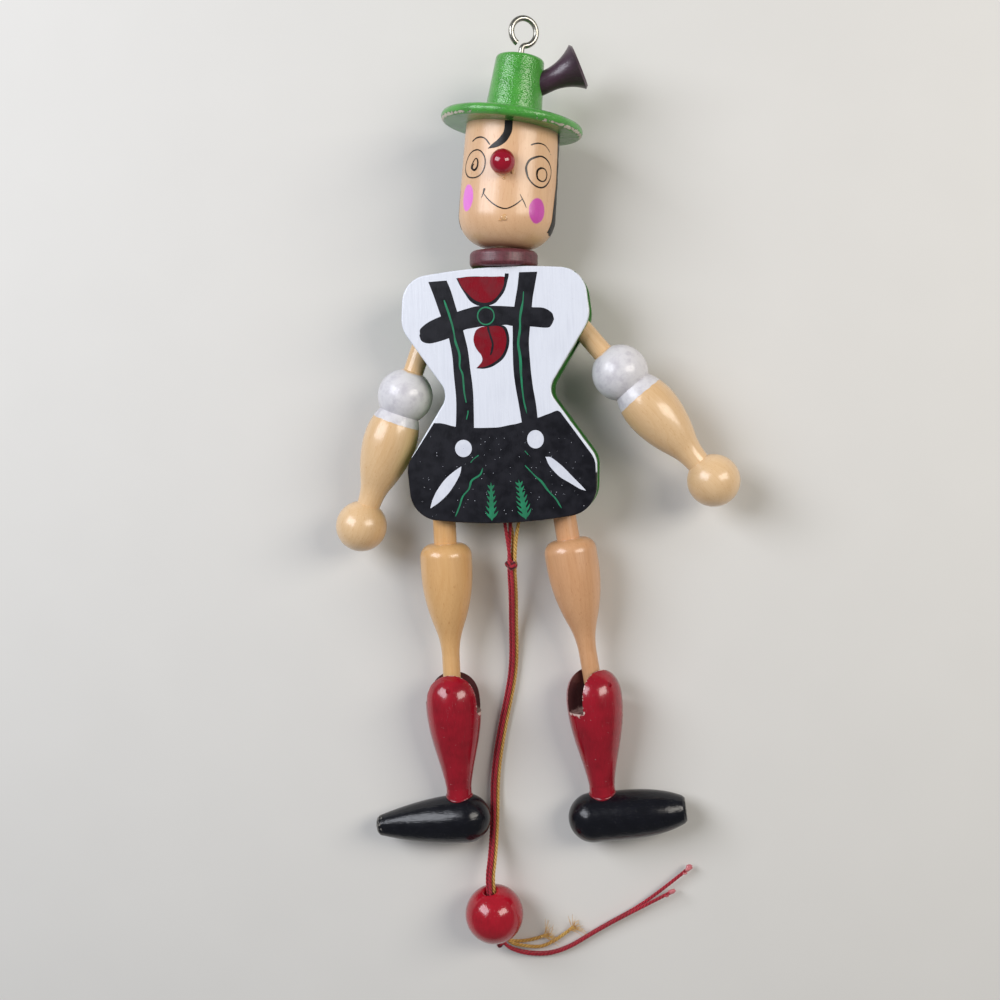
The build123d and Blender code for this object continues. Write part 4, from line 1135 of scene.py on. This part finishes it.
def inset(outline, amount):
    """The closed outline moved inwards: each point plus the amount times its tangent turned a quarter
    round."""
    way = unit(np.roll(outline, -1, axis=0) - np.roll(outline, 1, axis=0))
    return outline + np.stack([way[:, 1], -way[:, 0]], -1) * np.asarray(amount).reshape(-1, 1)


def on_chest(flat, lift):
    """Flat places on the front plate's face, raised by lift."""
    return placed(np.concatenate([flat, np.full(flat.shape[:-1] + (1,), PLATE_FRONT + lift)], -1), figure)


def uneven(edge, size, seed):
    """An edge with a small smooth wobble in both directions, as hand-cut stencils leave."""
    return edge + np.stack([wobble(len(edge), size, seed), wobble(len(edge), size, seed + 50)], -1)


def band(edge_a, edge_b, count=60, across=5, rough=0.06, seed=0):
    """A printed band between two given edges, both read from start to end."""
    a, b = smooth_line(edge_a, count), smooth_line(edge_b, count)
    return between(uneven(a, rough, seed), uneven(b, rough, seed + 7), across)


strap_left = band(
    [(-21.2, 80.1), (-19.6, 75.3), (-17.8, 69.4), (-16.4, 65.2), (-15.3, 61.4), (-14.4, 55.2), (-14.2, 48.2),
     (-13.9, 41.2), (-14.3, 34.1), (-14.8, 30.5)],
    [(-15.0, 80.2), (-13.6, 76.1), (-12.0, 69.9), (-10.3, 63.7), (-9.2, 57.3), (-8.6, 50.2), (-8.2, 43.2),
     (-8.3, 37.4), (-8.5, 30.9)], seed=1)
strap_right = band(
    [(8.8, 81.4), (8.2, 77.0), (7.0, 71.4), (6.0, 64.2), (5.6, 58.8), (5.5, 51.8), (5.9, 44.8), (6.7, 39.0),
     (7.5, 32.8), (7.8, 31.1)],
    [(14.8, 81.2), (13.5, 75.6), (12.5, 69.9), (11.5, 63.6), (11.0, 58.5), (11.1, 51.5), (11.6, 44.5),
     (12.4, 38.7), (12.9, 32.9)], seed=2)
crossbar = band(
    [(-25.0, 63.3), (-24.4, 65.1), (-21.8, 67.0), (-17.6, 68.7), (-12.0, 69.9), (-8.3, 70.7), (-4.7, 71.2),
     (1.2, 70.9), (7.0, 70.3), (12.5, 69.9), (16.3, 69.4), (18.8, 67.8), (19.5, 66.0)],
    [(-25.0, 62.9), (-24.5, 61.2), (-22.9, 60.2), (-20.7, 60.2), (-15.3, 61.5), (-10.3, 63.7), (-7.4, 64.2),
     (-2.7, 64.7), (0.8, 64.6), (3.7, 64.7), (5.8, 64.2), (11.6, 63.7), (17.1, 63.0), (18.6, 63.8),
     (19.5, 65.6)],
    count=80, seed=3)
neck_patch = band(
    [(-11.9, 80.7), (-8.0, 80.9), (-2.0, 80.6), (4.2, 80.2), (4.3, 81.2), (5.3, 81.1)],
    [(-11.7, 80.4), (-10.9, 78.4), (-9.5, 75.8), (-7.6, 73.1), (-5.3, 71.6), (-2.6, 71.1), (0.3, 71.8),
     (2.0, 73.4), (3.7, 75.6), (5.1, 79.0), (5.35, 80.9)], rough=0.05, seed=4)
neck_scarf = band(
    [(-11.4, 80.75), (-7.2, 80.85), (-0.7, 80.5), (3.9, 80.2)],
    [(-11.3, 80.5), (-10.3, 77.9), (-8.5, 75.6), (-6.1, 73.3), (-3.5, 72.3), (-1.1, 72.4), (0.7, 73.5),
     (2.2, 75.1), (3.5, 77.3), (3.95, 80.0)], rough=0.06, seed=5)
leaf_shadow = band(
    [(-2.6, 64.8), (0.9, 64.8), (3.4, 64.2), (4.3, 62.4), (4.6, 59.8), (4.0, 56.8), (2.2, 53.7), (-0.9, 51.7),
     (-3.9, 50.9), (-6.6, 51.1)],
    [(-2.4, 63.4), (0.2, 63.2), (1.8, 62.0), (2.4, 60.0), (1.6, 57.4), (-0.2, 55.4), (-2.4, 53.6),
     (-4.6, 52.2), (-6.6, 51.3)], rough=0.04, seed=6)
leaf_red = band(
    [(-2.4, 64.5), (-4.5, 64.4), (-6.2, 63.4), (-7.0, 61.2), (-6.9, 58.9), (-5.9, 56.8), (-4.8, 55.2),
     (-4.7, 53.4), (-6.3, 51.5)],
    [(-2.2, 64.5), (0.8, 64.5), (2.9, 63.4), (3.7, 60.6), (3.2, 57.4), (1.9, 54.8), (-0.9, 52.7),
     (-3.9, 51.5), (-6.2, 51.35)], rough=0.04, seed=8)

# The shorts run from their given top edge down to just inside the plate's sawn outline
shorts_top = smooth_line(
    [(-21.6, 34.0), (-18.5, 33.5), (-14.6, 32.4), (-8.4, 31.8), (-4.3, 31.6), (-0.7, 31.6), (4.0, 32.1),
     (7.5, 32.8), (12.9, 34.1), (15.9, 35.0), (19.1, 36.1), (20.5, 35.2)], 90)
# They stop 0.25 mm inside it low down, and further up that gap grows to 1.05 mm on the right and 0.5 mm on
# the left
right_gap = 0.25 + 0.8 * np.clip((torso_outline[:, 1] - 15) / 9, 0, 1)
left_gap = 0.25 + 0.25 * np.clip((torso_outline[:, 1] - 22) / 5, 0, 1)
side_gap = np.where(torso_outline[:, 0] > 0, right_gap, left_gap)
low_outline = inset(torso_outline, side_gap)
order = np.argsort(np.arctan2(low_outline[:, 0], 30 - low_outline[:, 1]))
low_part = low_outline[order]
low_part = low_part[low_part[:, 1] < 33.6]
low_part = np.concatenate([[(-21.7, 33.9)], low_part, [(20.6, 35.1)]])
shorts_edge = evenly(low_part, len(shorts_top))
shorts = between(uneven(shorts_top, 0.05, 9), uneven(shorts_edge, 0.06, 10), 14)

# How far above the plate's face the upper prints start, so that no film shares a surface with the one under
# it
ON_BLACK, ON_SHORTS, ON_BADGE, ON_LEAF = 0.05, 0.055, 0.06, 0.062
black_film = film("printed_braces_and_shorts", [
    (strap_left, 0.0), (strap_right, 0.0), (crossbar, 0.005), (neck_patch, 0.01), (leaf_shadow, 0.0),
    (shorts, 0.012), (disc((-2.7, 68.0), (3.4, 3.5)), 0.015)], on_chest, INK_BLACK, 0.035)
red_film = film("printed_scarf_and_leaf", [(neck_scarf, 0.035), (leaf_red, 0.03)], on_chest, INK_RED, 0.03)
vein_film = film("printed_leaf_vein", [
    (stroke([(-2.2, 64.6), (-1.9, 62.6), (-1.3, 60.6), (-0.9, 58.8), (-1.2, 56.8), (-1.8, 55.1)],
            (0.7, 0.55, 0.6, 0.8, 0.5), seed=20, ends=0.2), ON_LEAF)], on_chest, INK_BLACK, 0.02)


def fir_twig(top, foot, half, pairs, seed):
    """A fir twig: a stem that widens downwards, and pairs of needles that leave it upwards and outwards.

    The needles at share u of the height reach half * (1 - 0.6 u) to each side and as far up."""
    top, foot = np.array(top), np.array(foot)
    length = np.linalg.norm(top - foot)
    up = (top - foot) / length
    out = np.array([-up[1], up[0]])
    rng = np.random.default_rng(seed)
    stem = [foot, foot + 0.18 * length * up, foot + 0.6 * length * up, top]
    patches = [stroke(stem, (0.4, 1.7, 1.2, 0.3), 24, seed, 0.02, ends=0.2)]
    for k in range(pairs):
        share = (k + 0.5) / pairs * 0.92
        for sign in (-1, 1):
            reach = half * (1 - 0.6 * share) * rng.uniform(0.88, 1.12)
            base = foot + share * length * up
            tip = base + reach * up + sign * reach * out
            bend = base + 0.42 * reach * up + 0.56 * sign * reach * out
            patches.append(stroke([base, bend, tip], (1.1, 0.7, 0.1), 12, seed + k, 0.01, ends=0.3))
    return [(patch, ON_SHORTS + 0.0005 * k) for k, patch in enumerate(patches)]


green_film = film("printed_green_lines_and_twigs", [
    (stroke([(-16.2, 73.9), (-15.6, 71.6), (-14.5, 68.0), (-13.8, 64.5), (-13.2, 60.4), (-12.1, 56.2),
             (-12.2, 52.2), (-11.4, 49.2), (-11.1, 44.5), (-10.6, 40.1)],
            (0.45, 0.7, 0.55, 0.75, 0.5, 0.45), 80, 31, 0.07), ON_BLACK),
    (stroke([(-10.1, 37.5), (-10.3, 36.2), (-10.8, 34.6)], 0.35, 20, 32, 0.04), ON_BLACK),
    (stroke([(10.0, 75.1), (9.5, 71.2), (8.5, 66.7), (8.4, 63.8), (7.5, 58.7), (7.9, 54.0), (7.9, 48.8),
             (8.2, 43.6), (8.6, 38.9), (9.3, 35.5)], (0.4, 0.6, 0.7, 0.8, 0.75, 0.5, 0.4), 80, 33, 0.07),
     ON_BLACK),
    (stroke([(-2.7 + 2.72 * cos(a), 67.95 + 2.8 * sin(a)) for a in np.linspace(0, 2 * pi, 13)[:-1]],
            0.42, 60, 34, 0.03, closed=True), ON_BADGE),
    (stroke([(-6.1, 18.5), (-7.2, 16.3), (-10.0, 14.5), (-11.1, 11.7), (-13.3, 9.2), (-14.6, 6.0),
             (-16.0, 2.8)], (0.45, 0.55, 0.5, 0.6, 0.4), 60, 35, 0.07), ON_SHORTS),
    (stroke([(7.9, 18.8), (10.3, 15.9), (13.1, 13.1), (15.5, 9.5), (17.6, 7.3), (19.2, 4.2)],
            (0.4, 0.5, 0.65, 0.55, 0.35), 60, 36, 0.07), ON_SHORTS),
    (stroke([(-7.3, 22.7), (-8.9, 21.6), (-10.1, 20.4)], 0.3, 16, 37, 0.04), ON_SHORTS),
    (stroke([(8.0, 23.5), (8.5, 22.9), (9.1, 22.1)], 0.25, 14, 38, 0.03), ON_SHORTS),
    *fir_twig((-3.65, 13.7), (-3.95, 1.0), 2.1, 6, 41),
    *fir_twig((5.55, 14.3), (7.35, 1.0), 2.4, 7, 42),
], on_chest, INK_GREEN, 0.025)

# Pinholes in the printed black: white specks of 0.1 to 0.26 mm strewn over the shorts
rng = np.random.default_rng(5)
SPECKS = 110
speck_places = np.stack([rng.uniform(-27, 27, SPECKS), rng.uniform(3, 30, SPECKS)], -1)
speck_sizes = rng.uniform(0.05, 0.13, SPECKS)
white_film = film("brushed_buttons_and_pockets", [
    (disc((-12.25, 25.15), (2.8, 2.85)), ON_SHORTS),
    (disc((11.7, 27.1), (2.75, 3.0)), ON_SHORTS),
    (band([(-13.3, 19.2), (-13.7, 17.1), (-15.3, 14.2), (-17.9, 10.7), (-21.0, 7.9), (-24.2, 5.8)],
          [(-13.45, 19.2), (-16.3, 17.4), (-19.5, 14.6), (-21.9, 11.5), (-23.4, 8.6), (-24.3, 5.9)],
          40, 4, 0.04, 44), ON_SHORTS),
    (band([(14.8, 21.3), (16.7, 20.8), (19.8, 18.3), (23.1, 14.7), (25.9, 11.6), (27.4, 9.8)],
          [(14.7, 21.2), (16.0, 18.2), (18.5, 15.1), (21.9, 12.7), (25.3, 10.5), (27.3, 9.7)],
          40, 4, 0.04, 46), ON_SHORTS),
] + [(disc(place, (size, size * 0.8), 7, 2), ON_BLACK) for place, size in zip(speck_places, speck_sizes)],
    on_chest, INK_WHITE, 0.025)
for piece in (black_film, red_film, vein_film, green_film, white_film):
    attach(piece, "torso_and_head")

# =============================================================== the drawn face and hair
# The head's radius at each height, read from its solid, and round at the jaw as the solid's own profile is
head_points = np.zeros(len(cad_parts["head"].data.vertices) * 3)
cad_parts["head"].data.vertices.foreach_get("co", head_points)
head_own = seen_from(head_points.reshape(-1, 3) / MM, chin)
head_out = np.hypot(head_own[:, 0], head_own[:, 2])
profile_heights = np.linspace(0.0, 40.0, 81)
profile_radii = np.array([
    head_out[np.abs(head_own[:, 1] - h) < 0.8].max(initial=0.0) for h in profile_heights])
JAW_ROUND = 10.2
jaw = profile_heights < JAW_ROUND
jaw_rise = np.maximum(JAW_ROUND**2 - (JAW_ROUND - profile_heights[jaw]) ** 2, 0)
profile_radii[jaw] = HEAD_RADIUS - JAW_ROUND + np.sqrt(jaw_rise)
profile_radii[~jaw] = np.maximum.accumulate(profile_radii[~jaw][::-1])[::-1]


def on_head(flat, lift):
    """Places (distance round the face, height above the chin) on the turned head, raised by lift.

    The angle is the distance over the head's radius. The radius is the profile's at that height plus lift,
    and the height falls by lift times the profile's slope over its own length."""
    angle = flat[..., 0] / HEAD_RADIUS
    radius = np.interp(flat[..., 1], profile_heights, profile_radii) + lift
    slope = np.interp(flat[..., 1], profile_heights, np.gradient(profile_radii, profile_heights))
    lean = 1 / np.sqrt(1 + slope**2)
    drop = flat[..., 1] - lift * slope * lean
    return placed(np.stack([radius * np.sin(angle), drop, radius * np.cos(angle)], -1), chin)


ON_WOOD, ON_LINES = 0.03, 0.034
face_lines = [
    (stroke([(-10.02, 29.3), (-8.1, 28.5), (-6.7, 26.7), (-6.4, 24.5), (-7.0, 22.4), (-8.4, 21.0),
             (-10.7, 20.5), (-13.9, 21.2), (-16.0, 23.2), (-16.2, 25.4), (-14.8, 27.6), (-12.5, 29.0)],
            0.42, 70, 51, 0.03, closed=True), ON_WOOD),
    (stroke([(-12.0, 23.3), (-12.4, 24.2), (-11.7, 25.4), (-10.7, 26.5), (-9.8, 26.3), (-9.35, 25.0),
             (-9.7, 23.6), (-10.7, 22.95), (-11.7, 23.4), (-11.75, 24.3), (-11.1, 25.0)],
            (0.7, 0.45, 0.4, 0.6, 0.75, 0.6, 0.35), 70, 52, 0.02), ON_LINES),
    (stroke([(11.8, 28.2), (14.0, 28.25), (16.4, 27.1), (18.0, 25.0), (17.7, 22.4), (16.0, 20.0),
             (13.6, 18.7), (11.0, 18.9), (8.8, 20.4), (7.7, 22.3), (7.45, 24.4), (8.6, 26.7)],
            (0.5, 0.5, 0.35, 0.3, 0.35, 0.5, 0.45, 0.4, 0.6, 0.75, 0.7, 0.6), 80, 53, 0.03, closed=True),
     ON_WOOD),
    (stroke([(13.2, 24.8), (14.8, 24.5), (15.7, 23.2), (15.2, 21.4), (13.7, 20.65), (12.0, 21.1),
             (11.35, 22.4), (11.7, 23.9)], (0.5, 0.5, 0.4, 0.4, 0.5, 0.55, 0.75, 0.6),
            50, 54, 0.03, closed=True), ON_WOOD),
    (stroke([(-13.0, 32.2), (-11.1, 33.1), (-8.8, 33.2), (-6.9, 32.5), (-5.1, 30.6)],
            (0.55, 0.45, 0.4, 0.45), 40, 55, 0.03), ON_WOOD),
    (stroke([(8.5, 31.3), (10.0, 31.95), (11.7, 32.3), (14.0, 32.1), (16.1, 30.9), (17.5, 29.6)],
            (0.5, 0.4, 0.3, 0.25, 0.2), 40, 56, 0.03), ON_WOOD),
    (stroke([(-6.1, 15.3), (-4.3, 13.4), (-2.3, 11.9), (-0.3, 11.0), (1.5, 10.75), (3.3, 11.4), (5.1, 12.6),
             (6.8, 14.2)], (0.3, 0.4, 0.42, 0.38, 0.4, 0.3), 60, 57, 0.03), ON_WOOD),
    (stroke([(-5.95, 17.0), (-6.2, 15.5), (-6.9, 13.9)], (0.75, 0.45, 0.15), 24, 58, 0.02), ON_LINES),
    (stroke([(5.8, 15.7), (6.8, 14.1), (7.7, 12.7), (8.3, 11.5)], (0.15, 0.28, 0.28, 0.2), 24, 59, 0.02),
     ON_LINES),
]
face_film = film("brush_drawn_face", face_lines, on_head, PEN_BLACK, 0.03)
forelock = band(
    [(-0.6, 38.3), (-0.54, 35.6), (-1.25, 33.8), (-2.7, 32.0), (-4.5, 30.6), (-5.75, 29.5)],
    [(1.9, 38.3), (1.9, 35.2), (1.1, 33.0), (-0.3, 31.2), (-2.5, 29.9), (-5.7, 29.4)], 40, 5, 0.05, 61)

# The hair goes round the back of the head, from its right edge to the same edge mirrored on the left. Its
# lower end hangs 1.6 mm lower in the middle and has 13 small waves, both fading out 5 mm further up.
AROUND_HEAD, HAIR_COLUMNS = 98.4, 56
hair_right = smooth_line(
    [(20.2, 5.4), (20.6, 8.0), (21.2, 12.6), (22.0, 17.0), (22.9, 21.0), (23.1, 26.0), (22.9, 31.0),
     (21.9, 38.2)], 60)
hair_left = np.stack([AROUND_HEAD - hair_right[:, 0], hair_right[:, 1]], -1)
hair = between(uneven(hair_right, 0.12, 62), uneven(hair_left, 0.12, 63), HAIR_COLUMNS)
way_round = np.linspace(0, pi, HAIR_COLUMNS)
hem = 0.35 * np.sin(26 * way_round) - 1.6 * np.sin(way_round)
hair[..., 1] += np.clip((9.0 - hair[..., 1]) / 5.0, 0, 1) * hem[None, :]
hair_film = film("brushed_hair", [(forelock, ON_WOOD), (hair, ON_WOOD)], on_head, HAIR_BLACK, 0.05)
for piece in (face_film, hair_film):
    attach(piece, "torso_and_head")

# =============================================================== glue and lacquer drops
LACQUER = glue("hardened_lacquer_drops", "#E2B888", "#C9965F")
RED_GLUE = glue("red_tinted_glue", "#9A1426", "#6A0A18")

# Each drop: (way round the face, height above the chin), its half sizes, its seed
LACQUER_SPOTS = [((1.3, 8.1), (1.0, 0.9, 0.32), 71), ((3.1, 22.2), (0.5, 0.55, 0.3), 72),
                 ((0.4, 20.1), (0.45, 0.4, 0.25), 73), ((0.0, 7.2), (0.5, 0.35, 0.25), 74)]
drops = []
for place, size, seed in LACQUER_SPOTS:
    spot = on_head(np.array([[place]]), 0.0)[0, 0]
    facing = on_plane(chin, about_y=degrees(place[0] / HEAD_RADIUS))
    drops.append(blob(spot, size, seed, 0.35, facing))
lacquer_drops = make_piece("lacquer_drops", drops, LACQUER)
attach(lacquer_drops, "torso_and_head")


def glue_collar(name, hand):
    """Glue squeezed out round an ankle: a thin ring whose height and width rise and fall round the shin.

    Point (a, b) is at the ankle's radius plus 0.8 swell cos b, in the direction a, and swell sin b above
    the seat, where the round shin meets the round shoe. The swell is 0.36 plus 0.18 times four waves round
    the shin."""
    around, across = 64, 8
    a = np.linspace(0, 2 * pi, around, endpoint=False)[:, None]
    b = np.linspace(0, 2 * pi, across, endpoint=False)[None, :]
    rng = np.random.default_rng(80 + SIDE[hand])
    waves = sum(np.sin(k * a + rng.uniform(0, 6)) / k for k in (1, 2, 3, 5))
    swell = 0.36 + 0.22 * np.abs(waves) / 1.2
    radius = ANKLE_RADIUS + swell * np.cos(b) * 0.8
    x, z = radius * np.cos(a), radius * np.sin(a)
    seat = SHOE_DISTANCE - np.sqrt(SHOE_RADIUS**2 - (ANKLE_RADIUS * np.sin(a)) ** 2)
    y = seat + swell * np.sin(b)
    ring = placed(np.stack([x, y * np.ones_like(x), z], -1), knee[hand])
    faces = grid_faces(around, across, loop_rows=True, loop_columns=True)
    made = make_piece(name, [(ring, [faces], np.zeros((around * across, 2)))], RED_GLUE)
    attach(made, hand + "_shin")


for hand in SIDE:
    glue_collar(f"ankle_glue_{hand}", hand)
